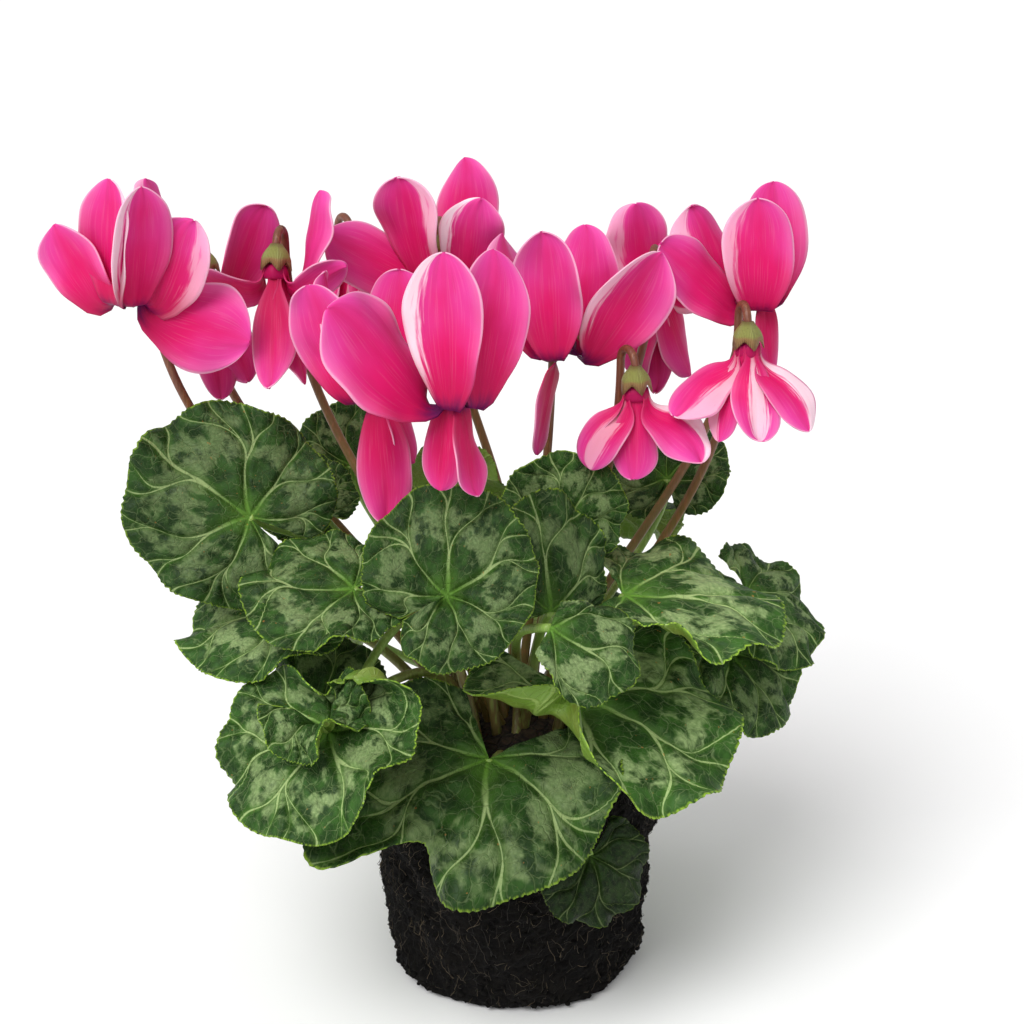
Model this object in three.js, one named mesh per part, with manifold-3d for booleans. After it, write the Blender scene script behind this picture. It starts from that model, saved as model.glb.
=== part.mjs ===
// A cyclamen in flower, with the bare root ball it was grown with.
// Millimetres, +Z up, the front of the plant towards -Y, the root ball resting on Z = 0.

import * as THREE from "three";
import { mergeVertices } from "three/addons/utils/BufferGeometryUtils.js";
import Module from "manifold-3d";

const wasm = await Module();
wasm.setup();

// Driving dimensions.
const BALL_HEIGHT = 97;
const BALL_FOOT_RADIUS = 49;
const BALL_TOP_RADIUS = 58;
const BALL_EDGE = 6;
const BALL_SIDES = 40;
const BALL_PITCH = 10.5;
const LUMP = 1.3;
const TUBER_RADIUS = 28;
const TUBER_TOP = 103;
const TUBER_FALL = 6;
const TUBER_BOTTOM = 86;
const TUBER_SIDES = 16;
const SEAT_GAP = 0.3;
const SOCKET_DEPTH = 4;
const SOCKET_LENGTH = 9;
const SOCKET_FLOOR = 1.3;
const SOCKET_PITCH = 6.3;
const SOCKET_ROUNDS = 400;
const PETIOLE_RADIUS = 2;
const PETIOLE_STEPS = 4;
const STEM_RADIUS = 1.8;
const STEM_SIDES = 5;
const STEM_STEPS = 9;
const STEM_SHARE = 4 / STEM_STEPS;
const HOOK_SHARE = 4 / STEM_STEPS;
const HOOK_RADIUS = 6;
const HOOK_RUN = 2;
const BLADE_THICKNESS = 0.7;
const PETAL_THICKNESS = 0.7;
const TOOTH = 1.1;
const JOINT_HEIGHT = 13;
const LIP = 7;
const THROAT_RADIUS = 3.6;
const INSIDE_RADIUS = 2.2;
const HANGING = -60;
const PETAL_CREST = 0.64;
const PETAL_CUP = 0.12;
const PETAL_BASE = 2;

// Steps along a petal, and those that have a row of points on a long one and on a short one.
const PETAL_STEPS = 60;
const LONG_STATIONS = [0, 12, 28, 45, 58];
const SHORT_STATIONS = [0, 13, 37, 57];
const SHORT = 43;

// Throat and calyx: radii, and heights over the nose.
const MOUTH_RADIUS = 4.6;
const MOUTH_HEIGHT = 0.8;
const BACK_RADIUS = 3.8;
const BACK_HEIGHT = 5.7;
const CALYX_RADIUS = 5;
const CALYX_FLARE = 0.7;
const CALYX_RIM = 6.6;
const CALYX_POINT = 2;
const CALYX_SHOULDER = 9;
const CALYX_FLOOR = 8.2;
const CALYX_TOP = 13.5;

// Circles of holes in the top of the tuber, from its middle outwards.
const CORE_RING = 5;
const INNER_RING = 10.5;
const MID_RING = 15.8;
const LOW_RING = 21;

// Shares of the way from the junction to the margin at which a blade has its rings of points.
const PLAIN_RINGS = [0.4, 0.75, 1];
const CURLED_RINGS = [0.35, 0.6, 0.8, 1];

// Leaves. at is the junction of blade and petiole, facing the bearing the upper side turns to,
// tilt how far it leans from level, turn the tip's direction within the blade, reach the length
// from junction to tip. dents are hollows of the margin, [angle round the junction, spread, depth],
// and curls rolled stretches, [angle, spread, roll, start]. via is a point halfway up the petiole,
// rays the number of points on the margin.
const LEAF_DEFAULTS = {
  broad: 1,
  dish: 8,
  cup: -10,
  wave: 12,
  waves: 5,
  phase: 0,
  droop: 0,
  droopFrom: 0.2,
  spiral: 0,
  sinus: 12,
  skew: 0,
  dents: [],
  curls: [],
  lift: 0.5,
  arrive: 30,
  via: null,
  rings: PLAIN_RINGS,
  rays: 40,
};

const LEAVES = [
  {
    name: "front", dents: [[-29, 12, 0.3], [24, 48, 0.08], [-52, 14, -0.32], [64, 9, 0.06], [-160, 16, 0.16]], ring: LOW_RING, at: [-10, -41, 106], facing: -96, tilt: 20, turn: 0, reach: 64,
    broad: 1.02, dish: 4, cup: -8, wave: 17, phase: 0.9, droop: 50, droopFrom: 0.28, sinus: 40,
    skew: -18, curls: [[150, 24, 30, 0.5], [-150, 24, 70, 0.55], [-42, 20, 30, 0.62]], arrive: -50,
    rings: CURLED_RINGS, rays: 40,
  },
  {
    name: "right", dents: [[-80, 26, 0.3]], ring: LOW_RING, at: [23, -24, 123], facing: -64, tilt: 22, turn: 34, reach: 62,
    broad: 1.02, wave: 9, waves: 4, phase: 1.2, droop: 14, sinus: 40, skew: -35,
    curls: [[-88, 30, 190, 0.36]], via: [34, -19, 121], rings: CURLED_RINGS,
    rays: 40,
  },
  {
    name: "curled", dents: [[-145, 26, 0.25], [150, 34, -0.35]], skew: 14, spiral: 5, ring: LOW_RING, at: [-68, -58, 126], facing: -118, tilt: 34, turn: -6, reach: 43,
    broad: 1.12, cup: -14, wave: 18, phase: 2, droop: 20, sinus: 4,
    curls: [[-142, 34, 108, 0.12], [158, 34, 205, 0.42], [80, 40, 24, 0.3]], arrive: 75, via: [-43, -20, 152],
    rings: CURLED_RINGS, rays: 36,
  },
  {
    name: "small_right", dents: [[92, 36, 0.5], [-92, 36, 0.5]], ring: INNER_RING, at: [12, -62, 168], facing: -70, tilt: 52, turn: 52,
    reach: 35, broad: 0.84, dish: 4, cup: -18, waves: 4, phase: 0.3, droop: 10, sinus: 86,
    via: [0, -17, 141], rays: 28,
  },
  {
    name: "centre", skew: -52, ring: INNER_RING, at: [-25, -52, 176], facing: -86, tilt: 60, turn: 170,
    reach: 39, dish: 14, cup: -14, waves: 4, phase: 2.6, spiral: -11, sinus: 3, via: [-20, -22, 152],
    rays: 32,
  },
  {
    name: "mid_left", ring: LOW_RING, at: [-59, -38, 173], facing: -100, tilt: 30, turn: -80,
    reach: 40, broad: 0.78, dish: 10, cup: -16, phase: 1, droop: 8, sinus: 16, via: [-42, -12, 150],
    rays: 28,
  },
  {
    name: "low_left", ring: LOW_RING, at: [-85, -12, 153], facing: -125, tilt: 24, turn: -46,
    reach: 42, broad: 0.95, dish: 16, cup: -24, wave: 14, phase: 0.2, droop: 10, via: [-61, 2, 137],
    rays: 28,
  },
  {
    name: "mid_right", ring: MID_RING, at: [41, -8, 158], facing: -50, tilt: 8, turn: 44, reach: 60,
    broad: 0.84, cup: -12, wave: 10, phase: 2.2, droop: 14, sinus: 60, curls: [[-80, 30, 50, 0.5]],
    via: [26, -2, 132], rays: 32,
  },
  {
    name: "grey", ring: CORE_RING, at: [13, -22, 157], facing: -66, tilt: 72, turn: 176, reach: 44,
    broad: 0.62, cup: -20, wave: 10, waves: 4, phase: 0.8, sinus: 78, rays: 24,
  },
  {
    name: "back_mid", ring: CORE_RING, at: [19, 8, 181], facing: -88, tilt: 84, turn: -165, reach: 27,
    broad: 1.12, dish: 6, cup: -12, wave: 10, phase: 1.8, sinus: 16, via: [12, 16, 142], rays: 28,
  },
  {
    name: "tall_left", ring: MID_RING, at: [-99, -12, 191], facing: -84, tilt: 68, turn: 236,
    reach: 47, broad: 0.98, dish: 6, cup: -12, wave: 9, phase: 0.5, via: [-60, 6, 168], rays: 36,
  },
  {
    name: "left_back", ring: MID_RING, at: [-67, 64, 185], facing: -84, tilt: 66, turn: 186,
    reach: 25, broad: 1.1, dish: 6, cup: -12, wave: 10, waves: 4, phase: 0.5, sinus: 16,
    via: [-38, 40, 142], rays: 20,
  },
  {
    name: "left_small", ring: MID_RING, at: [-79, 31, 179], facing: -98, tilt: 46, turn: 236,
    reach: 24, dish: 10, cup: -18, waves: 4, phase: 1.5, rays: 20,
  },
  {
    name: "right_back", ring: LOW_RING, at: [61, 56, 182], facing: -96, tilt: 62, turn: 186,
    reach: 25, broad: 1.25, dish: 6, cup: -12, wave: 10, waves: 4, phase: 2.5, via: [42, 44, 138],
    rays: 24,
  },
  {
    name: "far_right", ring: MID_RING, at: [92, 30, 143], facing: -40, tilt: 36, turn: 10, reach: 36,
    broad: 0.95, dish: 10, cup: -18, wave: 10, phase: 0.9, droop: 16, sinus: 14, via: [60, 22, 134],
    rays: 24,
  },
  {
    name: "low_right", ring: LOW_RING, at: [86, 22, 120], facing: -50, tilt: 44, turn: 4, reach: 34,
    broad: 0.95, dish: 10, cup: -18, wave: 10, phase: 2.9, droop: 20, sinus: 14, rays: 24,
  },
  {
    name: "under_front", ring: LOW_RING, at: [27, -68, 80], facing: -66, tilt: 66, turn: 8, reach: 25,
    broad: 1.1, dish: 2, cup: -8, wave: 6, waves: 4, phase: 0.9, droop: 10, sinus: 50, lift: 0.2,
    arrive: 70, via: [20, -50, 101.6], rays: 20,
  },
  {
    name: "inner_left", via: [-46, -15, 126], ring: LOW_RING, at: [-72, -36, 125], facing: -100, tilt: 48, turn: 176,
    reach: 27, broad: 1.1, cup: -16, wave: 10, waves: 4, phase: 0.1, rays: 20,
  },
  {
    name: "lime", ring: MID_RING, at: [-30, 40, 179], facing: 92, tilt: 62, turn: 180, reach: 30,
    broad: 1.1, dish: 6, wave: 10, waves: 4, phase: 0.6, sinus: 14, via: [-20, 32, 140], rays: 24,
  },
  {
    name: "rear_right", ring: LOW_RING, at: [64, 56, 116], facing: 40, tilt: 34, turn: 6, reach: 46,
    cup: -14, wave: 13, phase: 0.7, droop: 26, sinus: 40, lift: 0.35, rays: 28,
  },
  {
    name: "rear", ring: LOW_RING, at: [-2, 76, 124], facing: 92, tilt: 36, turn: -4, reach: 46,
    cup: -14, wave: 13, phase: 2.1, droop: 24, sinus: 36, lift: 0.35, rays: 28,
  },
  {
    name: "rear_left", ring: LOW_RING, at: [-62, 56, 114], facing: 142, tilt: 34, turn: 4, reach: 46,
    broad: 1.02, cup: -14, wave: 13, phase: 1.1, droop: 26, sinus: 40, lift: 0.35, rays: 28,
  },
  {
    name: "rear_high", ring: LOW_RING, at: [38, 80, 166], facing: 62, tilt: 40, turn: 8, reach: 38,
    broad: 1.04, cup: -14, wave: 13, phase: 1.6, droop: 16, via: [24, 50, 136], rays: 24,
  },
];

// Flowers. nose is the dark mouth of the bloom, facing the bearing it nods towards, tilt how far
// the nose swings out from straight down, via a point halfway up the stem.
// Each petal is [bearing, rise, twist, length, width, curl]: rise is its slope above level once it
// has turned back over the mouth, twist turns its face, curl bends it further along its length.
const FLOWERS = [
  {
    name: "01", nose: [-21, -48, 248], facing: -90, tilt: 8, ring: CORE_RING, via: [-26, -14, 176],
    petals: [
      [205, 46, -58, 57, 35, 0],
      [-100, 82, -12, 60, 26, 0],
      [-38, 84, -18, 60, 24, 0],
      [215, -84, -30, 30, 14, 0],
      [-50, -74, -25, 32, 18, 0],
    ],
  },
  {
    name: "02", nose: [-50, -6, 238], facing: -60, tilt: 5, ring: CORE_RING, via: [-32, 10, 170],
    petals: [
      [206, 72, 40, 52, 26, 0],
      [166, 80, 25, 52, 24, 0],
      [66, 76, 0, 50, 26, 0],
      [-95, -84, 8, 46, 19, 0],
      [-10, -72, 40, 28, 15, 0],
    ],
  },
  {
    name: "03", nose: [18, 26, 244], facing: -75, tilt: 10, ring: INNER_RING, via: [10, 36, 172],
    petals: [
      [152, 74, -10, 54, 30, 0],
      [-112, 82, 16, 54, 24, 0],
      [54, 82, 8, 54, 25, 0],
      [-15, 54, -66, 54, 27, 0],
      [212, -74, 60, 38, 22, 0],
    ],
  },
  {
    name: "04", nose: [45, 10, 229], facing: -66, tilt: 6, ring: INNER_RING, via: [30, 34, 170],
    petals: [
      [205, -30, 10, 27, 17, -40],
      [-105, -62, 0, 27, 16, -18],
      [-30, -12, -24, 30, 19, -50],
      [58, -20, 0, 28, 16, -40],
      [170, -35, 0, 25, 13, -40],
    ],
  },
  {
    name: "05", nose: [93, 38, 260], facing: -80, tilt: 10, ring: MID_RING, via: [58, 44, 176],
    petals: [
      [196, 42, -60, 46, 26, 0],
      [156, 66, -20, 48, 28, 0],
      [-98, 80, -6, 48, 25, 0],
      [58, 86, 0, 52, 24, 0],
      [-60, -80, 0, 26, 12, 0],
    ],
  },
  {
    name: "06", nose: [86, 10, 246], facing: -80, tilt: 6, ring: MID_RING, via: [62, 36, 170],
    petals: [
      [195, -8, -10, 31, 19, -48],
      [-142, -58, 0, 30, 12, -22],
      [-76, -58, 0, 29, 17, -20],
      [-24, -26, 0, 32, 16, -42],
      [52, -25, 0, 30, 16, -40],
    ],
  },
  {
    name: "07", nose: [-141, 4, 271], facing: -110, tilt: 8, ring: LOW_RING, via: [-97, 17, 188],
    petals: [
      [192, 60, 60, 38, 25, 0],
      [-115, 86, -20, 50, 24, 0],
      [-70, 77, 18, 50, 24, 0],
      [-14, 66, -66, 40, 25, 0],
      [0, -14, 80, 42, 31, 0],
    ],
  },
  {
    name: "08", nose: [-119, 44, 265], facing: -60, tilt: 8, ring: LOW_RING, via: [-86, 50, 182],
    petals: [
      [166, 78, 0, 50, 26, 0],
      [24, 62, -66, 40, 24, 0],
      [-40, -66, 30, 38, 15, 0],
      [-75, -78, 0, 42, 14, 0],
      [205, 40, 40, 30, 16, 0],
    ],
  },
  {
    name: "09", nose: [-90, 24, 272], facing: -100, tilt: 14, ring: INNER_RING, via: [-54, 19, 186],
    petals: [
      [28, 80, -12, 42, 26, 0],
      [-14, 30, -50, 26, 14, 0],
      [180, 18, 40, 28, 19, 0],
      [-88, -72, 16, 40, 15, 0],
      [-28, -72, 6, 38, 13, 0],
    ],
  },
  {
    name: "10", nose: [-28, 56, 268], facing: -80, tilt: 10, ring: INNER_RING, via: [-10, 60, 188],
    petals: [
      [190, 30, -60, 46, 24, 0],
      [-135, 74, 0, 46, 27, 0],
      [54, 84, 0, 50, 25, 0],
      [-35, 74, -40, 36, 24, 0],
      [-80, -80, 0, 30, 14, 0],
    ],
  },
  {
    name: "11", nose: [-65, 80, 264], facing: -60, tilt: 6, ring: LOW_RING, via: [-44, 72, 184],
    petals: [
      [186, -68, 28, 22, 15, -10],
      [-120, -66, 20, 22, 15, -14],
      [-50, -50, 20, 22, 16, -14],
      [0, -30, 28, 27, 16, -30],
      [54, -66, 28, 24, 15, -10],
    ],
  },
  {
    name: "12", nose: [55, 62, 260], facing: 80, tilt: 14, ring: INNER_RING, via: [30, 46, 186],
    petals: [
      [110, 74, 0, 36, 24, 0],
      [-15, 18, -60, 26, 15, 0],
      [-150, -76, 0, 38, 15, 0],
      [-95, -84, 0, 42, 12, 0],
      [-40, -66, 0, 36, 17, 0],
    ],
  },
];

// Finishes.
const COMPOST = new THREE.MeshStandardMaterial({ color: 0x1e1814, roughness: 0.95, metalness: 0 });
const CORM = new THREE.MeshStandardMaterial({ color: 0x4a3626, roughness: 0.9, metalness: 0 });
const GREEN = new THREE.MeshStandardMaterial({ color: 0x35532c, roughness: 0.5, metalness: 0 });
const LIME = new THREE.MeshStandardMaterial({ color: 0x7da030, roughness: 0.5, metalness: 0 });
const BARK = new THREE.MeshStandardMaterial({ color: 0x5c3a2c, roughness: 0.6, metalness: 0 });
const PINK = new THREE.MeshStandardMaterial({ color: 0xe8246f, roughness: 0.5, metalness: 0 });

const UP = new THREE.Vector3(0, 0, 1);
const rad = THREE.MathUtils.degToRad;

function smooth(share) {
  return THREE.MathUtils.smoothstep(share, 0, 1);
}

function bearing(degrees) {
  return new THREE.Vector3(Math.cos(rad(degrees)), Math.sin(rad(degrees)), 0);
}

// The sum of vectors, each times its own length: mix([origin, 1], [axis, 4]).
function mix(...terms) {
  const sum = new THREE.Vector3();
  for (const [vector, amount] of terms) {
    sum.addScaledVector(vector, amount);
  }
  return sum;
}

function tuberHeight(radius) {
  return TUBER_TOP - TUBER_FALL * (radius / TUBER_RADIUS);
}

// A closed solid from a three.js geometry.
function solidOf(geometry) {
  const bare = geometry.index ? geometry.toNonIndexed() : geometry.clone();
  bare.deleteAttribute("normal");
  bare.deleteAttribute("uv");
  const merged = mergeVertices(bare, 1e-4);
  return new wasm.Manifold(
    new wasm.Mesh({
      numProp: 3,
      vertProperties: merged.attributes.position.array,
      triVerts: new Uint32Array(merged.index.array),
    }),
  );
}

// A named mesh from a closed solid.
function meshOf(name, solid, material) {
  const { vertProperties, triVerts } = solid.getMesh();
  const geometry = new THREE.BufferGeometry();
  geometry.setAttribute("position", new THREE.BufferAttribute(vertProperties, 3));
  geometry.setIndex(new THREE.BufferAttribute(triVerts, 1));
  geometry.computeVertexNormals();
  const mesh = new THREE.Mesh(geometry, material);
  mesh.name = name;
  return mesh;
}

// A geometry from points and triples of their numbers.
function skin(points, triangles) {
  const geometry = new THREE.BufferGeometry().setFromPoints(points);
  geometry.setIndex(triangles.flat());
  return geometry;
}

// Two triangles for each cell between two rows of points, the second row with the same number
// of cells or with twice as many.
function strip(inner, outer) {
  const triangles = [];
  const doubled = outer.length > inner.length;
  for (let i = 0; i + 1 < inner.length; i += 1) {
    const [a, b] = [inner[i], inner[i + 1]];
    const [c, d] = doubled ? [outer[2 * i], outer[2 * i + 1]] : [outer[i], outer[i + 1]];
    triangles.push([a, c, d], [a, d, b]);
    if (doubled) {
      triangles.push([b, d, outer[2 * i + 2]]);
    }
  }
  return triangles;
}

// A sheet of even thickness about a surface of triangles, closed round every free edge.
function sheet(points, triangles, thickness) {
  const surface = skin(points, triangles);
  surface.computeVertexNormals();
  const normals = points.map((_, i) => new THREE.Vector3().fromBufferAttribute(surface.attributes.normal, i));
  const face = (shift) => points.map((point, i) => mix([point, 1], [normals[i], shift]));
  const under = points.length;
  const edges = new Set(triangles.flatMap(([a, b, c]) => [`${a} ${b}`, `${b} ${c}`, `${c} ${a}`]));
  const closed = [];
  for (const [a, b, c] of triangles) {
    closed.push([a, b, c], [c + under, b + under, a + under]);
    for (const [from, to] of [[a, b], [b, c], [c, a]]) {
      if (!edges.has(`${to} ${from}`)) {
        closed.push([from, from + under, to + under], [from, to + under, to]);
      }
    }
  }
  return skin([...face(thickness / 2), ...face(-thickness / 2)], closed);
}

// A skin over rings of points, from the lowest, closed by a point at each end. A ring has as many
// points as the one below it, or half as many.
function loft(rings, first, last) {
  const points = [];
  const rows = rings.map((ring) => {
    const start = points.length;
    points.push(...ring);
    return Array.from({ length: ring.length + 1 }, (_, i) => start + (i % ring.length));
  });
  const start = points.push(first) - 1;
  const end = points.push(last) - 1;
  const triangles = [];
  for (let k = 0; k + 1 < rows.length; k += 1) {
    triangles.push(...strip(rows[k + 1], rows[k]));
  }
  const cap = (row, centre, flip) => {
    for (let i = 0; i + 1 < row.length; i += 1) {
      triangles.push(flip ? [centre, row[i + 1], row[i]] : [centre, row[i], row[i + 1]]);
    }
  };
  cap(rows[0], start, true);
  cap(rows.at(-1), end, false);
  return skin(points, triangles);
}

// A tube along a curve, with flat ends.
function tube(curve, radius, sides, steps) {
  const corners = Array.from({ length: sides }, (_, i) => {
    const angle = (2 * Math.PI * i) / sides;
    return new THREE.Vector2(radius * Math.cos(angle), radius * Math.sin(angle));
  });
  const options = { steps, bevelEnabled: false, extrudePath: curve };
  return new THREE.ExtrudeGeometry(new THREE.Shape(corners), options);
}

// A point of a stalk's root in the tuber, and the cutter for the hole it stands in.
function rootPoint(angle, ring) {
  return mix([bearing(angle), ring], [UP, tuberHeight(ring) - SOCKET_DEPTH]);
}

function socketCutter(curve, radius, steps) {
  const root = curve.getPointAt(0);
  const along = curve.getPointAt(1 / steps).sub(root).normalize();
  const sides = 5;
  const clear = (radius + SEAT_GAP) / Math.cos(Math.PI / sides);
  const cutter = new THREE.CylinderGeometry(clear, clear, SOCKET_LENGTH, sides);
  cutter.applyQuaternion(new THREE.Quaternion().setFromUnitVectors(new THREE.Vector3(0, 1, 0), along));
  const middle = mix([root, 1], [along, SOCKET_LENGTH / 2 - SOCKET_FLOOR]);
  return solidOf(cutter.translate(middle.x, middle.y, middle.z));
}

// The bearing of each row's hole: as near as may be to the bearing that its stalk leans to, with
// the holes of one circle kept apart.
function socketAngles(rows) {
  const angles = new Map();
  for (const ring of new Set(rows.map((row) => row.ring))) {
    const group = rows
      .filter((row) => row.ring === ring)
      .map((row) => {
        const [x, y] = row.via ?? row.at ?? row.nose;
        return { row, angle: (THREE.MathUtils.radToDeg(Math.atan2(y, x)) + 360) % 360 };
      })
      .sort((a, b) => a.angle - b.angle);
    const apart = THREE.MathUtils.radToDeg(SOCKET_PITCH / ring);
    for (let round = 0; round < SOCKET_ROUNDS; round += 1) {
      group.forEach((near, i) => {
        const next = group[(i + 1) % group.length];
        const between = next.angle - near.angle + (i + 1 === group.length ? 360 : 0);
        const push = Math.max(0, apart - between) / 2;
        near.angle -= push;
        next.angle += push;
      });
    }
    group.forEach(({ row, angle }) => angles.set(row, angle));
  }
  return angles;
}

// Blade of a leaf.

function leafFrame(leaf) {
  const out = bearing(leaf.facing);
  const tilt = rad(leaf.tilt);
  const turn = rad(leaf.turn);
  const normal = mix([out, Math.sin(tilt)], [UP, Math.cos(tilt)]);
  const down = mix([out, Math.cos(tilt)], [UP, -Math.sin(tilt)]);
  const level = new THREE.Vector3().crossVectors(normal, down);
  const tip = mix([down, Math.cos(turn)], [level, Math.sin(turn)]);
  const side = new THREE.Vector3().crossVectors(normal, tip);
  return { tip, side, normal };
}

// Degrees from an angle on the blade to theta, within half a turn.
function degreesFrom(theta, at) {
  return THREE.MathUtils.euclideanModulo(THREE.MathUtils.radToDeg(theta) - at + 180, 360) - 180;
}

// Heart-shaped outline: length of the ray at an angle from the tip.
function outline(leaf, theta) {
  const rounded = 0.83 + 0.15 * Math.cos(theta) + 0.04 * Math.cos(2 * theta);
  const wide = 1 + (leaf.broad - 1) * Math.sin(theta) ** 2;
  const fromSinus = (Math.PI - Math.abs(theta - rad(leaf.skew))) / rad(leaf.sinus + 26);
  const lobes = 1 - 0.38 * Math.exp(-2.2 * fromSinus ** 2);
  const ripple = 1 + 0.018 * Math.cos(9 * theta + leaf.phase);
  let length = leaf.reach * rounded * wide * lobes * ripple;
  for (const [at, spread, depth] of leaf.dents) {
    length *= 1 - depth * Math.exp(-((degreesFrom(theta, at) / spread) ** 2));
  }
  return length;
}

// Slope of the blade along a ray: a dish, a change of it outwards, waves and rolled lobes.
function slope(leaf, theta, share) {
  let degrees = leaf.dish + leaf.cup * share;
  degrees += leaf.wave * share ** 2 * Math.sin(leaf.waves * theta + leaf.phase);
  for (const [at, spread, roll, start] of leaf.curls) {
    const near = Math.exp(-((degreesFrom(theta, at) / spread) ** 2));
    degrees += roll * near * smooth((share - start) / (1 - start));
  }
  return rad(degrees);
}

function bladePoint(leaf, theta, share, tooth) {
  const steps = 12;
  let run = 0;
  let rise = 0;
  for (let i = 0; i < steps; i += 1) {
    const lean = slope(leaf, theta, ((i + 0.5) / steps) * share);
    run += (Math.cos(lean) * share) / steps;
    rise += (Math.sin(lean) * share) / steps;
  }
  const length = outline(leaf, theta) + tooth;
  let along = length * run * Math.cos(theta);
  const across = length * run * Math.sin(theta);
  let height = length * rise + ((leaf.spiral * theta) / (2 * Math.PI)) * smooth(share * 3);
  const start = leaf.droopFrom * leaf.reach;
  if (leaf.droop > 0 && along > start) {
    const bend = rad(leaf.droop) / (leaf.reach - start);
    const angle = (along - start) * bend;
    along = start + (1 / bend + height) * Math.sin(angle);
    height = (1 / bend + height) * Math.cos(angle) - 1 / bend;
  }
  const { tip, side, normal } = leafFrame(leaf);
  return mix([new THREE.Vector3(...leaf.at), 1], [tip, along], [side, across], [normal, height]);
}

// Rings of points round the junction, closer together outwards, every other one on the margin a
// tooth.
function blade(leaf) {
  const points = [bladePoint(leaf, 0, 0, 0)];
  const triangles = [];
  const limit = Math.PI - rad(leaf.sinus);
  const last = leaf.rings.length - 1;
  let inner = null;
  leaf.rings.forEach((share, k) => {
    const cells = leaf.rays / 2 ** Math.min(last - k, 2);
    const outer = [];
    for (let i = 0; i <= cells; i += 1) {
      const theta = rad(leaf.skew) + limit * ((2 * i) / cells - 1);
      const tooth = k === last && i % 2 === 1 ? TOOTH : 0;
      outer.push(points.length);
      points.push(bladePoint(leaf, theta, share, tooth));
    }
    if (inner) {
      triangles.push(...strip(inner, outer));
    } else {
      for (let i = 0; i < cells; i += 1) {
        triangles.push([0, outer[i], outer[i + 1]]);
      }
    }
    inner = outer;
  });
  return sheet(points, triangles, BLADE_THICKNESS);
}

function petioleCurve(leaf, angle) {
  const { tip, normal } = leafFrame(leaf);
  const root = rootPoint(angle, leaf.ring);
  const end = mix([new THREE.Vector3(...leaf.at), 1], [normal, 0.3]);
  const gap = end.distanceTo(root);
  const arrive = rad(leaf.arrive);
  const inward = mix([normal, Math.cos(arrive)], [tip, Math.sin(arrive)]);
  const second = mix([end, 1], [inward, -gap * 0.33]);
  let first = mix([root, 1], [bearing(angle), 0.28 * gap * leaf.lift], [UP, 0.8 * gap * leaf.lift]);
  if (leaf.via) {
    first = throughVia(leaf.via, root, second, end);
  }
  return new THREE.CubicBezierCurve3(root, first, second, end);
}

// First handle of a cubic curve that passes through a point halfway.
function throughVia(via, root, second, end) {
  return mix([new THREE.Vector3(...via), 8 / 3], [root, -1 / 3], [second, -1], [end, -1 / 3]);
}

// Flower.

function flowerFrame(flower) {
  const tilt = rad(flower.tilt);
  const out = bearing(flower.facing);
  const up = mix([out, -Math.sin(tilt)], [UP, Math.cos(tilt)]);
  const ahead = mix([out, 1], [up, -out.dot(up)]).normalize();
  const beside = new THREE.Vector3().crossVectors(up, ahead);
  const nose = new THREE.Vector3(...flower.nose);
  return { up, ahead, beside, nose };
}

// A point of a bloom, from its bearing about the axis, its radius and its height over the nose.
function aroundAxis(frame, degrees, radius, height) {
  const { up, ahead, beside, nose } = frame;
  const angle = rad(degrees);
  return mix([nose, 1], [ahead, radius * Math.cos(angle)], [beside, radius * Math.sin(angle)], [up, height]);
}

function petalHalfWidth(width, share) {
  if (share < PETAL_CREST) {
    const grown = smooth((share - 0.04) / (PETAL_CREST - 0.04)) ** 0.85;
    return PETAL_BASE + (width / 2 - PETAL_BASE) * grown;
  }
  const past = (share - PETAL_CREST) / (1 - PETAL_CREST);
  return (width / 2) * Math.sqrt(Math.max(0, 1 - past ** 2.3));
}

// A petal: down through the throat, sharply back over the mouth, then out along its rise, with
// its face turned by the twist and its edges bowed back.
function petal(flower, frame, [heading, rise, twist, length, width, curl]) {
  const { up, nose } = frame;
  const out = mix([aroundAxis(frame, heading - flower.facing, 1, 0), 1], [nose, -1]);
  const side = new THREE.Vector3().crossVectors(up, out);
  const total = length + LIP;
  const slopeAt = (u) => {
    const turned = (rise + 80) * smooth((u - LIP * 0.55) / 12);
    return rad(-80 + turned + curl * smooth((u - LIP) / length));
  };
  const spine = mix([nose, 1], [out, rise < HANGING ? INSIDE_RADIUS : THROAT_RADIUS], [up, LIP * 0.75]);
  const stations = length < SHORT ? SHORT_STATIONS : LONG_STATIONS;
  const points = [];
  const rows = [];
  for (let step = 0; step < PETAL_STEPS; step += 1) {
    const u = (step / PETAL_STEPS) * total;
    if (stations.includes(step)) {
      const tangent = mix([out, Math.cos(slopeAt(u))], [up, Math.sin(slopeAt(u))]);
      const back = new THREE.Vector3().crossVectors(tangent, side);
      const turn = rad(twist) * smooth((u - LIP * 0.6) / (0.45 * length));
      const across = mix([side, Math.cos(turn)], [back, Math.sin(turn)]);
      const normal = new THREE.Vector3().crossVectors(tangent, across);
      const half = petalHalfWidth(width, step / PETAL_STEPS);
      const bow = 2 * PETAL_CUP * half * smooth((2 * step) / PETAL_STEPS);
      const place = (w) => mix([spine, 1], [across, half * w], [normal, -bow * w * w]);
      rows.push([-1, 0, 1].map((w) => points.push(place(w)) - 1));
    }
    const middle = slopeAt(u + total / PETAL_STEPS / 2);
    spine.addScaledVector(out, (Math.cos(middle) * total) / PETAL_STEPS);
    spine.addScaledVector(up, (Math.sin(middle) * total) / PETAL_STEPS);
  }
  const triangles = [];
  for (let k = 0; k + 1 < rows.length; k += 1) {
    triangles.push(...strip(rows[k + 1], rows[k]));
  }
  return sheet(points, triangles, PETAL_THICKNESS);
}

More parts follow.
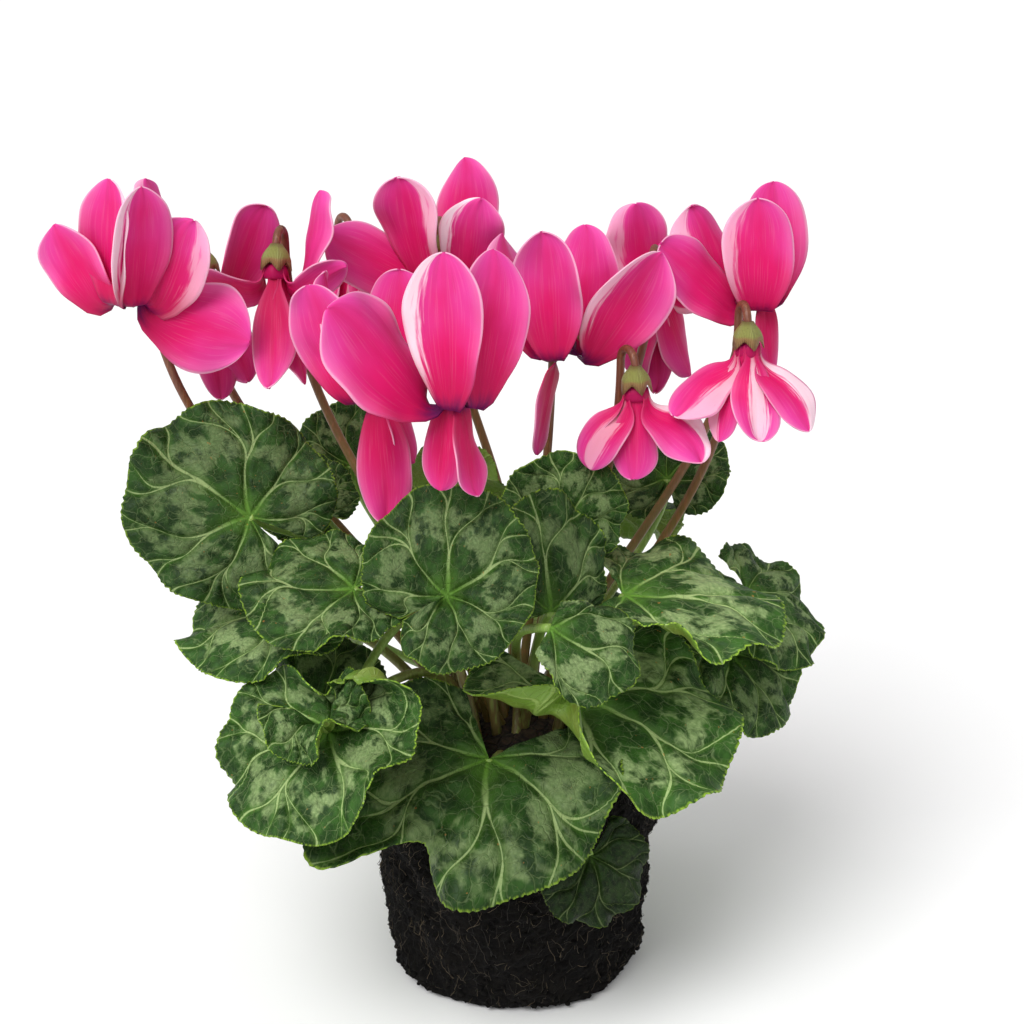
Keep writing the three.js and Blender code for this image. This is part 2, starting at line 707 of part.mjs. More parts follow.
// The short ring that the petals spring from.
function throat(frame) {
  const profile = [
    new THREE.Vector2(0, MOUTH_HEIGHT),
    new THREE.Vector2(MOUTH_RADIUS, MOUTH_HEIGHT),
    new THREE.Vector2(BACK_RADIUS, BACK_HEIGHT),
    new THREE.Vector2(0, BACK_HEIGHT),
  ];
  const lathe = new THREE.LatheGeometry(profile, 6);
  lathe.applyQuaternion(new THREE.Quaternion().setFromUnitVectors(new THREE.Vector3(0, 1, 0), frame.up));
  return lathe.translate(frame.nose.x, frame.nose.y, frame.nose.z);
}

// A stem: a cubic curve up from the tuber, then a half hoop down into the back of the bloom.
class StemCurve extends THREE.Curve {
  constructor(flower, angle) {
    super();
    const frame = flowerFrame(flower);
    this.out = bearing(flower.facing);
    this.swing = Math.PI - rad(flower.tilt);
    const neck = mix([frame.nose, 1], [frame.up, JOINT_HEIGHT]);
    this.top = mix(
      [neck, 1],
      [UP, -HOOK_RADIUS * Math.sin(this.swing)],
      [this.out, -HOOK_RADIUS * (1 - Math.cos(this.swing))],
    );
    this.run = mix([frame.up, -HOOK_RUN]);
    const root = rootPoint(angle, flower.ring);
    const gap = this.top.distanceTo(root);
    const second = mix([this.top, 1], [UP, -0.4 * gap]);
    const first = throughVia(flower.via, root, second, this.top);
    this.rise = new THREE.CubicBezierCurve3(root, first, second, this.top);
  }

  getPoint(t) {
    if (t <= STEM_SHARE) {
      return this.rise.getPoint(t / STEM_SHARE);
    }
    const turned = this.swing * Math.min(1, (t - STEM_SHARE) / HOOK_SHARE);
    const beyond = Math.max(0, (t - STEM_SHARE - HOOK_SHARE) / (1 - STEM_SHARE - HOOK_SHARE));
    return mix(
      [this.top, 1],
      [UP, HOOK_RADIUS * Math.sin(turned)],
      [this.out, HOOK_RADIUS * (1 - Math.cos(turned))],
      [this.run, beyond],
    );
  }

  // Stations stay where getPoint puts them, so the hoop has its own share of them.
  getUtoTmapping(u) {
    return u;
  }
}

// The calyx: a small cup with five points, over the back of the bloom.
function calyx(frame, facing) {
  const ring = (count, radius, height, flare = 0, point = 0) =>
    Array.from({ length: count }, (_, i) => {
      const [wider, lower] = i % 2 === 0 ? [flare, point] : [0, 0];
      return aroundAxis(frame, (360 / count) * i - facing, radius + wider, height - lower);
    });
  const rings = [
    ring(10, CALYX_RADIUS, CALYX_RIM, CALYX_FLARE, CALYX_POINT),
    ring(10, CALYX_RADIUS - 0.2, CALYX_SHOULDER),
    ring(5, STEM_RADIUS + 0.4, CALYX_TOP),
  ];
  return loft(rings, aroundAxis(frame, 0, 0, CALYX_FLOOR), aroundAxis(frame, 0, 0, CALYX_TOP));
}

// Root ball and tuber.

// Lumps of the compost, some 30 mm apart round the ball and up its side.
function lump(angle, height) {
  const broad = Math.sin(5 * angle + 0.12 * height + 1.3 * Math.sin(0.1 * height));
  const mid = Math.sin(9 * angle - 0.15 * height + 1) * Math.sin(0.17 * height + 2 * angle);
  const fine = Math.sin(11 * angle + 0.21 * height + 2);
  return LUMP * (0.7 * broad + 0.6 * mid + 0.5 * fine);
}

function ballRadius(angle, height) {
  const cone = THREE.MathUtils.lerp(BALL_FOOT_RADIUS, BALL_TOP_RADIUS, height / BALL_HEIGHT);
  return cone + lump(angle, height);
}

function rootBall() {
  const ring = (height, inset, sag = 0) =>
    Array.from({ length: BALL_SIDES }, (_, i) => {
      const angle = (2 * Math.PI * i) / BALL_SIDES;
      const radius = ballRadius(angle, height) - inset;
      const z = height + sag * Math.abs(lump(3 * angle, height));
      return new THREE.Vector3(radius * Math.cos(angle), radius * Math.sin(angle), z);
    });
  const rings = [ring(0, BALL_EDGE), ring(1.5, BALL_EDGE * 0.55, 0.4), ring(5, 0.8)];
  for (let height = BALL_PITCH; height < BALL_HEIGHT - BALL_PITCH / 2; height += BALL_PITCH) {
    rings.push(ring(height, 0));
  }
  rings.push(ring(BALL_HEIGHT - 2.5, 0.3), ring(BALL_HEIGHT, 2.5), ring(BALL_HEIGHT, 15));
  const foot = new THREE.Vector3(0, 0, 0);
  const crown = new THREE.Vector3(0, 0, BALL_HEIGHT);
  return solidOf(loft(rings, foot, crown));
}

function latheSolid(profile) {
  const lathe = new THREE.LatheGeometry(profile.map(([x, y]) => new THREE.Vector2(x, y)), TUBER_SIDES);
  return solidOf(lathe.rotateX(Math.PI / 2));
}

function tuberProfile(grow) {
  const rim = tuberHeight(TUBER_RADIUS);
  return [
    [0, TUBER_BOTTOM - grow],
    [TUBER_RADIUS - 5 + grow, TUBER_BOTTOM - grow],
    [TUBER_RADIUS + grow, TUBER_BOTTOM + 5],
    [TUBER_RADIUS + grow, rim],
  ];
}

const leaves = LEAVES.map((leaf) => ({ ...LEAF_DEFAULTS, ...leaf }));
const angles = socketAngles([...leaves, ...FLOWERS]);
const group = new THREE.Group();
group.name = "cyclamen";

const above = BALL_HEIGHT + 8;
const seat = latheSolid([...tuberProfile(SEAT_GAP), [TUBER_RADIUS + SEAT_GAP, above], [0, above]]);
group.add(meshOf("root_ball", rootBall().subtract(seat), COMPOST));

let tuber = latheSolid([...tuberProfile(0), [0, TUBER_TOP]]);
for (const leaf of leaves) {
  const curve = petioleCurve(leaf, angles.get(leaf));
  tuber = tuber.subtract(socketCutter(curve, PETIOLE_RADIUS, PETIOLE_STEPS));
  const petiole = solidOf(tube(curve, PETIOLE_RADIUS, STEM_SIDES, PETIOLE_STEPS));
  const material = leaf.name === "lime" ? LIME : GREEN;
  group.add(meshOf(`leaf_${leaf.name}`, solidOf(blade(leaf)).add(petiole), material));
}
for (const flower of FLOWERS) {
  const curve = new StemCurve(flower, angles.get(flower));
  const frame = flowerFrame(flower);
  tuber = tuber.subtract(socketCutter(curve, STEM_RADIUS, STEM_STEPS));
  const stem = solidOf(tube(curve, STEM_RADIUS, STEM_SIDES, STEM_STEPS));
  group.add(meshOf(`stem_${flower.name}`, stem.add(solidOf(calyx(frame, flower.facing))), BARK));
  const petals = flower.petals.map((row) => solidOf(petal(flower, frame, row)));
  const bloom = petals.reduce((whole, next) => whole.add(next), solidOf(throat(frame)));
  group.add(meshOf(`flower_${flower.name}`, bloom, PINK));
}
group.add(meshOf("tuber", tuber, CORM));

export default group;
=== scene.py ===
"""Finishes and fine meshes of a cyclamen in flower with its bare root ball, round the CAD frame.

Rows of leaves and flowers give places in millimetres, +Z up, the front of the plant towards -Y.
"""

from __future__ import annotations

import logging
import math
from dataclasses import dataclass
from enum import Enum

import bpy
import numpy as np
from bpy.types import Material, Object
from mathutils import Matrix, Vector


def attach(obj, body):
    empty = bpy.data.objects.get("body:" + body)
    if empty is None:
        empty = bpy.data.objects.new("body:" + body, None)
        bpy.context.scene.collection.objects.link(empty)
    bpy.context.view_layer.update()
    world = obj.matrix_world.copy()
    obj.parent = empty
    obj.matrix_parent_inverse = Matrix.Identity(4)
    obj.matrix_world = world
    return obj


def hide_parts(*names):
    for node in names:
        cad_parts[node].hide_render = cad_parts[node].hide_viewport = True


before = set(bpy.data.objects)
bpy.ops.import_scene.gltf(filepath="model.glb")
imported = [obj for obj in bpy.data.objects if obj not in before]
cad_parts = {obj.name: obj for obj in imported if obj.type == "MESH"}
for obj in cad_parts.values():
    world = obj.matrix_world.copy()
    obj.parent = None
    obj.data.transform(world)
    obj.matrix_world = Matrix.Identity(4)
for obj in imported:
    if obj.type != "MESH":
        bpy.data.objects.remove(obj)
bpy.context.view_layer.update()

Array = np.ndarray

MM = 0.001
UP = np.array([0.0, 0.0, 1.0])
UV_NAME = "Coat"
TONE_NAME = "Tone"
EDGE_NAME = "Edge"
BLADE_SHARE = 0.48  # length of a blade's reach on its UV map
CALYX_NUMBER = 1  # material number of the calyx on a stalk
ROOT_NUMBER = 1  # material number of the fine roots on the ball
SEED_STEP = 1.7  # shift of the vein net from one leaf to the next
WAVE_SPREAD = (0.6, 1.5)  # spread of the wave numbers about their mean in ripples
WAVE_GAIN = 1.2  # brings the sum of the waves to about -1 to 1


class Ring(Enum):
    """Circles of holes in the top of the tuber, by radius."""

    CORE = 5.0
    INNER = 10.5
    MID = 15.8
    LOW = 21.0


class Face(Enum):
    """Material numbers of a leaf's sides and stalk."""

    UPPER = 0
    UNDER = 1
    STALK = 2


def smooth(x: Array) -> Array:
    """Smoothstep of x between 0 and 1: x squared times (3 - 2x)."""
    x = np.clip(x, 0.0, 1.0)
    return x * x * (3.0 - 2.0 * x)


def unit(vectors: Array) -> Array:
    """Vectors along the last axis, each brought to length 1."""
    return vectors / np.maximum(np.linalg.norm(vectors, axis=-1, keepdims=True), 1e-9)


def bearing(degrees: float) -> Array:
    """Level unit vector at an angle from +X."""
    angle = math.radians(degrees)
    return np.array([math.cos(angle), math.sin(angle), 0.0])


def turns(count: int) -> Array:
    """Angles in radians, even round a full turn."""
    return np.linspace(0, math.tau, count, endpoint=False)


def polar(radius: Array | float, angle: Array, height: Array | float) -> Array:
    """Places at a radius and an angle in radians about the axis, and a height."""
    return np.stack(np.broadcast_arrays(radius * np.cos(angle), radius * np.sin(angle), height), axis=-1)


def normals_of(grid: Array) -> Array:
    """Unit normals of a grid of points: its step down the rows crossed with its step across."""
    return unit(np.cross(np.gradient(grid, axis=0), np.gradient(grid, axis=1)))


def ripples(points: Array, scale: float, seed: int, count: int = 14) -> Array:
    """Smooth noise of about -1 to 1: a sum of sine waves sin(k.p + phase) in seeded directions.

    Args:
        points: Places in millimetres, with x, y and z along the last axis.
        scale: Mean wavelength in millimetres.
        seed: Seed of the directions, wavelengths and phases.
        count: Number of waves.

    Returns:
        One number for each point.
    """
    rng = np.random.default_rng(seed)
    waves = unit(rng.normal(size=(count, 3))) * rng.uniform(*WAVE_SPREAD, (count, 1)) * 2 * math.pi / scale
    phases = rng.uniform(0, math.tau, count)
    return np.sin(points @ waves.T + phases).sum(-1) / math.sqrt(2 * count) * WAVE_GAIN


def srgb(code: str) -> tuple[float, float, float, float]:
    """Linear colour of an sRGB code, each channel through the sRGB curve.

    Args:
        code: Six hexadecimal digits.

    Returns:
        Red, green, blue and an alpha of 1.
    """
    parts = [int(code[i : i + 2], 16) / 255 for i in (0, 2, 4)]
    linear = [c / 12.92 if c <= 0.04045 else ((c + 0.055) / 1.055) ** 2.4 for c in parts]
    return (*linear, 1.0)


class Wire:
    """A float socket in a node tree. Arithmetic on it adds Math nodes."""

    def __init__(self, paint: Paint, socket: bpy.types.NodeSocket) -> None:
        """Keeps the socket and the material it belongs to."""
        self.paint = paint
        self.socket = socket

    def math(self, operation: str, *others: Wire | float, first: Wire | float | None = None) -> Wire:
        """A Math node of this socket and others, or of first and this socket."""
        operands = [self, *others] if first is None else [first, self]
        return self.paint.node("ShaderNodeMath", {"operation": operation}, dict(enumerate(operands)))

    def __add__(self, other: Wire | float) -> Wire:
        """Sum."""
        return self.math("ADD", other)

    __radd__ = __add__

    def __sub__(self, other: Wire | float) -> Wire:
        """Difference."""
        return self.math("SUBTRACT", other)

    def __rsub__(self, other: float) -> Wire:
        """Difference from a number."""
        return self.math("SUBTRACT", first=other)

    def __mul__(self, other: Wire | float) -> Wire:
        """Product."""
        return self.math("MULTIPLY", other)

    __rmul__ = __mul__

    def __truediv__(self, other: Wire | float) -> Wire:
        """Quotient."""
        return self.math("DIVIDE", other)

    def __pow__(self, other: float) -> Wire:
        """Power."""
        return self.math("POWER", other)

    def __abs__(self) -> Wire:
        """Absolute value."""
        return self.math("ABSOLUTE")


def sine(x: Wire | Array) -> Wire | Array:
    """Sine of a wire or an array."""
    return x.math("SINE") if isinstance(x, Wire) else np.sin(x)


def whole(x: Wire | Array) -> Wire | Array:
    """Nearest whole number below a wire or an array."""
    return x.math("FLOOR") if isinstance(x, Wire) else np.floor(x)


def ramp(x: Wire | Array, low: float | Wire, high: float | Wire) -> Wire | Array:
    """Smooth rise from 0 at low to 1 at high, of a wire or an array.

    Args:
        x: The wire or array.
        low: Value where the rise starts. It may be above high, for a fall.
        high: Value where it ends.

    Returns:
        The same kind as x.
    """
    if isinstance(x, Wire):
        settings = {"interpolation_type": "SMOOTHSTEP"}
        return x.paint.node("ShaderNodeMapRange", settings, {0: x, 1: low, 2: high, 3: 0.0, 4: 1.0})
    return smooth((x - low) / (high - low))


class Paint:
    """A material with one Principled shader, built from nodes."""

    def __init__(self, name: str, **constants: float | tuple) -> None:
        """Makes the material and sets the shader's constant sockets.

        Args:
            name: Name of the material.
            constants: Values of the shader's sockets, named with underscores for spaces.
        """
        self.material = bpy.data.materials.new(name)
        self.material.use_nodes = True
        self.nodes = self.material.node_tree.nodes
        self.links = self.material.node_tree.links
        self.shader = self.nodes["Principled BSDF"]
        for key, value in constants.items():
            self.shader.inputs[key.replace("_", " ").title().replace("Ior", "IOR")].default_value = value

    def node(self, kind: str, settings: dict, inputs: dict, output: int | str = 0) -> Wire:
        """Adds a node.

        Args:
            kind: The node's type.
            settings: Its properties, set first.
            inputs: Values or wires, by socket number or name.
            output: Number or name of the socket that is returned.

        Returns:
            The output socket.
        """
        made = self.nodes.new(kind)
        for key, value in settings.items():
            setattr(made, key, value)
        for key, value in inputs.items():
            if isinstance(value, Wire):
                self.links.new(value.socket, made.inputs[key])
            else:
                made.inputs[key].default_value = value
        return Wire(self, made.outputs[output])

    def split(self, vector: Wire) -> list[Wire]:
        """The three parts of a vector."""
        made = self.node("ShaderNodeSeparateXYZ", {}, {0: vector}).socket.node
        return [Wire(self, output) for output in made.outputs]

    def join(self, x: Wire | float, y: Wire | float, z: Wire | float) -> Wire:
        """A vector of three parts."""
        return self.node("ShaderNodeCombineXYZ", {}, {0: x, 1: y, 2: z})

    def uv(self) -> Wire:
        """The piece's own UV map."""
        return self.node("ShaderNodeUVMap", {"uv_map": UV_NAME}, {})

    def tone(self) -> list[Wire]:
        """The three parts of the piece's tone attribute."""
        return self.split(self.node("ShaderNodeAttribute", {"attribute_name": TONE_NAME}, {}, "Vector"))

    def blade(self) -> tuple[Wire, Wire, Wire]:
        """Where a place lies on its blade, from the UV map.

        Returns:
            Shares of the reach towards the tip and sideways, and of the way out.
        """
        u, v, _ = self.split(self.uv())
        x, y = (u - 0.5) / BLADE_SHARE, (v - 0.5) / BLADE_SHARE
        return x, y, (x * x + y * y) ** 0.5

    def edge(self) -> Wire:
        """Share of the way to the margin."""
        return self.node("ShaderNodeAttribute", {"attribute_name": EDGE_NAME}, {}, "Fac")

    def place(self) -> Wire:
        """Object coordinates in metres."""
        return self.node("ShaderNodeTexCoord", {}, {}, "Object")

    def noise(self, vector: Wire, scale: float, detail: float = 3.0, distortion: float = 0.0) -> Wire:
        """Noise texture from about 0.3 to 0.7."""
        inputs = {"Vector": vector, "Scale": scale, "Detail": detail, "Distortion": distortion}
        return self.node("ShaderNodeTexNoise", {}, inputs)

    def cells(self, vector: Wire, scale: float, feature: str = "DISTANCE_TO_EDGE") -> Wire:
        """Voronoi texture: distance to the nearest cell edge, or to the nearest point."""
        return self.node("ShaderNodeTexVoronoi", {"feature": feature}, {"Vector": vector, "Scale": scale})

    def mix(self, factor: Wire | float, a: Wire | str, b: Wire | str, blend: str = "MIX") -> Wire:
        """Colour between a and b.

        Args:
            factor: Share of b.
            a: First colour, a wire or an sRGB code.
            b: Second colour, the same.
            blend: How b is laid over a.

        Returns:
            The mixed colour.
        """
        settings = {"data_type": "RGBA", "blend_type": blend, "clamp_factor": True}
        first, second = (srgb(colour) if isinstance(colour, str) else colour for colour in (a, b))
        return self.node("ShaderNodeMix", settings, {0: factor, 6: first, 7: second}, 2)

    def layers(self, colour: Wire | str, *coats: tuple[Wire, Wire | str]) -> Wire:
        """Lays coats of colour over one another.

        Args:
            colour: The lowest colour.
            coats: Share and colour of each coat, from below.

        Returns:
            The mixed colour.
        """
        for share, coat in coats:
            colour = self.mix(share, colour, coat)
        return colour

    def shade(self, colour: Wire, amount: Wire) -> Wire:
        """Colour multiplied by a number."""
        return self.mix(1.0, colour, self.join(amount, amount, amount), "MULTIPLY")

    def finish(self, colour: Wire, relief: Wire | None = None, depth: float = 0.3,
               rough: Wire | None = None) -> Material:
        """Feeds the shader.

        Args:
            colour: Base colour.
            relief: Height of the relief in millimetres, if there is one.
            depth: Strength of the relief.
            rough: Roughness, if it varies.

        Returns:
            The finished material.
        """
        self.links.new(colour.socket, self.shader.inputs["Base Color"])
        if rough is not None:
            self.links.new(rough.socket, self.shader.inputs["Roughness"])
        if relief is not None:
            bump = self.node("ShaderNodeBump", {}, {"Strength": depth, "Distance": MM, "Height": relief})
            self.links.new(bump.socket, self.shader.inputs["Normal"])
        return self.material


class Skin:
    """A mesh under construction, in millimetres: points, faces, material numbers, UVs and tones."""

    def __init__(self) -> None:
        """Starts with nothing."""
        self.points: list[Array] = []
        self.uvs: list[Array] = []
        self.tones: list[Array] = []
        self.faces: list[tuple[int, ...]] = []
        self.numbers: list[int] = []
        self.size = 0

    def add(self, points: Array, uv: Array | None, tone: tuple) -> Array:
        """Adds points.

        Args:
            points: Their places, x, y, z along the last axis.
            uv: Their UVs, u and v along the last axis, or None for zeros. A third value is the edge.
            tone: Three numbers for the tone attribute.

        Returns:
            The points' numbers, shaped as points without its last axis.
        """
        flat = points.reshape(-1, 3)
        self.points.append(flat)
        coat = np.zeros((len(flat), 3))
        if uv is not None:
            coat[:, : uv.shape[-1]] = uv.reshape(-1, uv.shape[-1])
        self.uvs.append(coat)
        self.tones.append(np.broadcast_to(np.array(tone, float), (len(flat), 3)))
        numbers = np.arange(self.size, self.size + len(flat)).reshape(points.shape[:-1])
        self.size += len(flat)
        return numbers

    def cover(self, faces: Array, number: int, flip: bool = False) -> None:
        """Adds faces.

        Args:
            faces: Point numbers, one face a row.
            number: Their material number.
            flip: Whether they are turned over.
        """
        rows = faces.reshape(-1, faces.shape[-1])
        rows = rows[:, ::-1] if flip else rows
        self.faces.extend(map(tuple, rows.tolist()))
        self.numbers.extend([number] * len(rows))

    def weave(self, numbers: Array, number: int, flip: bool = False, wrap: bool = False) -> None:
        """Adds quads over a grid.

        Args:
            numbers: Point numbers as rows by columns.
            number: Material number.
            flip: Whether the quads are turned over.
            wrap: Whether the last column joins the first.
        """
        if wrap:
            numbers = np.concatenate([numbers, numbers[:, :1]], axis=1)
        a, b, c, d = numbers[:-1, :-1], numbers[:-1, 1:], numbers[1:, 1:], numbers[1:, :-1]
        self.cover(np.stack([a, b, c, d], axis=-1), number, flip)

    def fan(self, centre: int, row: Array, number: int, flip: bool = False) -> None:
        """Triangles from a centre to each edge of a row of point numbers."""
        middle = np.full(len(row) - 1, centre)
        self.cover(np.stack([middle, row[:-1], row[1:]], axis=-1), number, flip)

    def lathe(self, rings: Array, uv: Array | None = None, tone: tuple = (0, 0, 0),
              number: int = 0) -> None:
        """A closed skin over rings of points, from the lowest, closed at the middle of each end ring.

        Args:
            rings: Points as rings by points round a ring, anticlockwise seen from the last ring.
            uv: UVs of those points.
            tone: Tone of all points.
            number: Material number.
        """
        grid = self.add(rings, uv, tone)
        self.weave(grid, number, wrap=True)
        for row, flip in ((0, True), (-1, False)):
            end_uv = None if uv is None else uv[row].mean(0)
            centre = self.add(rings[row].mean(0)[None, :], end_uv, tone)[0]
            self.fan(centre, np.append(grid[row], grid[row][0]), number, flip)

    def tube(self, path: Array, radius: Array | float, sides: int, tone: tuple = (0, 0, 0),
             number: int = 0) -> None:
        """A tube round a path: circles square to it, turned as little as a fixed level axis allows.

        Args:
            path: Points along the path.
            radius: Radius, or one for each point.
            sides: Points round the tube.
            tone: Tone of all points.
            number: Material number.
        """
        along = unit(np.gradient(path, axis=0))
        chord = path[-1] - path[0]
        level = np.cross(UP, chord)
        level = unit(level) if np.linalg.norm(level) > 1e-3 else bearing(0)
        first = unit(np.cross(level, along))
        second = np.cross(along, first)
        angle = turns(sides)
        radii = np.broadcast_to(np.asarray(radius, float), (len(path),))[:, None, None]
        ring = first[:, None] * np.cos(angle)[:, None] + second[:, None] * np.sin(angle)[:, None]
        share = np.linspace(0, 1, len(path))
        uv = np.stack(np.meshgrid(angle / math.tau, share), axis=-1)
        self.lathe(path[:, None] + radii * ring, uv, tone, number)

    def sheet(self, middle: Array, thick: float, uv: Array, tone: tuple,
              upper: int = 0, under: int = 0, pole: bool = False) -> None:
        """A thin closed sheet: the middle surface moved half the thickness each way along its normal.

        The upper side is the one from which rows by columns run clockwise.

        Args:
            middle: Points as rows by columns.
            thick: Thickness.
            uv: UVs of the points.
            tone: Tone of all points.
            upper: Material number of the upper side and the rim.
            under: Material number of the under side.
            pole: Whether the first row's points all lie at one place, which closes as a fan.
        """
        normals = normals_of(middle)
        if pole:
            normals[0] = unit(normals[1].mean(0))
        shift = normals * thick / 2
        first, past_last = (0, None) if pole else (1, 0)
        loops = []
        for side, number in ((1, upper), (-1, under)):
            points = middle + side * shift
            if pole:
                centre = self.add(points[:1, 0], uv[:1, 0], tone)
                grid = self.add(points[1:], uv[1:], tone)
                self.fan(centre[0], grid[0], number, flip=side < 0)
                start = centre
            else:
                grid = self.add(points, uv, tone)
                start = grid[0]
            self.weave(grid, number, flip=side > 0)
            right, far, left = grid[first:, -1], grid[-1, -2::-1], grid[-2:past_last:-1, 0]
            loops.append(np.concatenate([start, right, far, left, start[:1]]))
        top, bottom = loops
        self.cover(np.stack([top[:-1], top[1:], bottom[1:], bottom[:-1]], axis=-1), upper)

    def build(self, name: str, materials: list[Material]) -> Object:
        """Makes the object at the origin, in metres, shaded smooth.

        Args:
            name: Name of the object and its mesh.
            materials: Materials by number.

        Returns:
            The object, linked to the scene.
        """
        mesh = bpy.data.meshes.new(name)
        mesh.from_pydata(np.concatenate(self.points) * MM, [], self.faces)
        for material in materials:
            mesh.materials.append(material)
        mesh.polygons.foreach_set("material_index", np.array(self.numbers, np.int32))
        mesh.polygons.foreach_set("use_smooth", np.ones(len(self.faces), bool))
        corners = np.zeros(len(mesh.loops), np.int32)
        mesh.loops.foreach_get("vertex_index", corners)
        coat = mesh.uv_layers.new(name=UV_NAME)
        uvs = np.concatenate(self.uvs).astype(np.float32)
        coat.data.foreach_set("uv", uvs[corners, :2].ravel())
        edge = mesh.attributes.new(EDGE_NAME, "FLOAT", "POINT")
        edge.data.foreach_set("value", uvs[:, 2].copy())
        tone = mesh.attributes.new(TONE_NAME, "FLOAT_VECTOR", "POINT")
        tone.data.foreach_set("vector", np.concatenate(self.tones).astype(np.float32).ravel())
        mesh.update()
        return add_object(name, mesh)


def add_object(name: str, data: bpy.types.ID) -> Object:
    """Makes an object and links it to the scene.

    Args:
        name: Its name.
        data: Its mesh, light or camera.

    Returns:
        The object.
    """
    made = bpy.data.objects.new(name, data)
    bpy.context.scene.collection.objects.link(made)
    return made


def install(piece: Object, nodes: list[str]) -> None:
    """Fixes a piece to the plant's body and lets it stand for CAD nodes.

    Args:
        piece: The piece.
        nodes: Names of the CAD nodes that it replaces.
    """
    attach(piece, "root")
    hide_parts(*nodes)
    logging.info("%s: %d faces", piece.name, len(piece.data.polygons))


def bezier(start: Array, first: Array, second: Array, end: Array,
           steps: int) -> Array:
    """Points of a cubic curve, even in its parameter t: the four places weighted by Bernstein terms."""
    t = np.linspace(0, 1, steps + 1)[:, None]
    return (1 - t) ** 3 * start + 3 * (1 - t) ** 2 * t * first + 3 * (1 - t) * t**2 * second + t**3 * end


def tuber_height(radius: float) -> float:
    """Height of the tuber's top at a radius: a straight fall from its middle."""
    return Tuber.top - Tuber.fall * radius / Tuber.radius


def root_point(angle: float, ring: Ring) -> Array:
    """Foot of a stalk in its hole."""
    return bearing(angle) * ring.value + UP * (tuber_height(ring.value) - Tuber.socket_depth)


def through(via: tuple, root: Array, second: Array, end: Array) -> Array:
    """First handle of a cubic curve that passes through via halfway."""
    return (8 * np.array(via, float) - root - 3 * second - end) / 3


def near(theta: Array, at: float, spread: float) -> Array:
    """Bell over angles in radians, 1 at an angle in degrees, lower by e at the spread."""
    away = (np.degrees(theta) - at + 180) % 360 - 180
    return np.exp(-((away / spread) ** 2))


@dataclass(frozen=True)
class Curl:
    """A rolled stretch of a blade, in degrees and shares of the way out."""

    at: float
    spread: float
    roll: float
    start: float


@dataclass(frozen=True)
class Veins:
    """The net of veins: rays from the junction that fork twice on their way to the margin.

    A fork begins and is fully open at two shares of the way out, by a share of the sector.
    """

    sector: float = math.radians(51)
    first_fork: tuple[float, float] = (0.40, 0.95)
    second_fork: tuple[float, float] = (0.68, 1.1)
    first_open: float = 0.27
    second_open: float = 0.15
    uneven: float = 0.1
    sweep: float = 0.09
    wriggle: float = 0.016
    thick: float = 0.027
    thin: float = 0.0085

    def distance(self, theta: Wire | Array, share: Wire | Array,
                 seed: Wire | float) -> Wire | Array:
        """Distance to the nearest vein, as a share of the blade's reach.

        The angle is bent by sine waves, folded into one sector, then folded again about each fork,
        whose angle grows outwards.

        Args:
            theta: Angle from the tip, in radians.
            share: Share of the way from junction to margin.
            seed: Shift of the bends.

        Returns:
            The distance, as a wire or an array.
        """
        bent = theta + sine(share * 6.0 + theta * 2.0 + seed) * self.sweep
        bent = bent + sine(share * 15.0 - theta * 5.0 + seed) * self.wriggle
        turn = bent / self.sector + 0.5
        uneven = sine(whole(turn) * 2.4 + seed) * self.uneven
        away = abs(turn - whole(turn) - 0.5) * self.sector
        away = abs(away - ramp(share + uneven, *self.first_fork) * (self.sector * self.first_open))
        away = abs(away - ramp(share - uneven, *self.second_fork) * (self.sector * self.second_open))
        return away * share

    def width(self, share: Wire | Array) -> Wire | Array:
        """Half width of the veins, as a share of the reach."""
        return self.thin + (1.0 - share) ** 2 * (self.thick - self.thin)


VEINS = Veins()


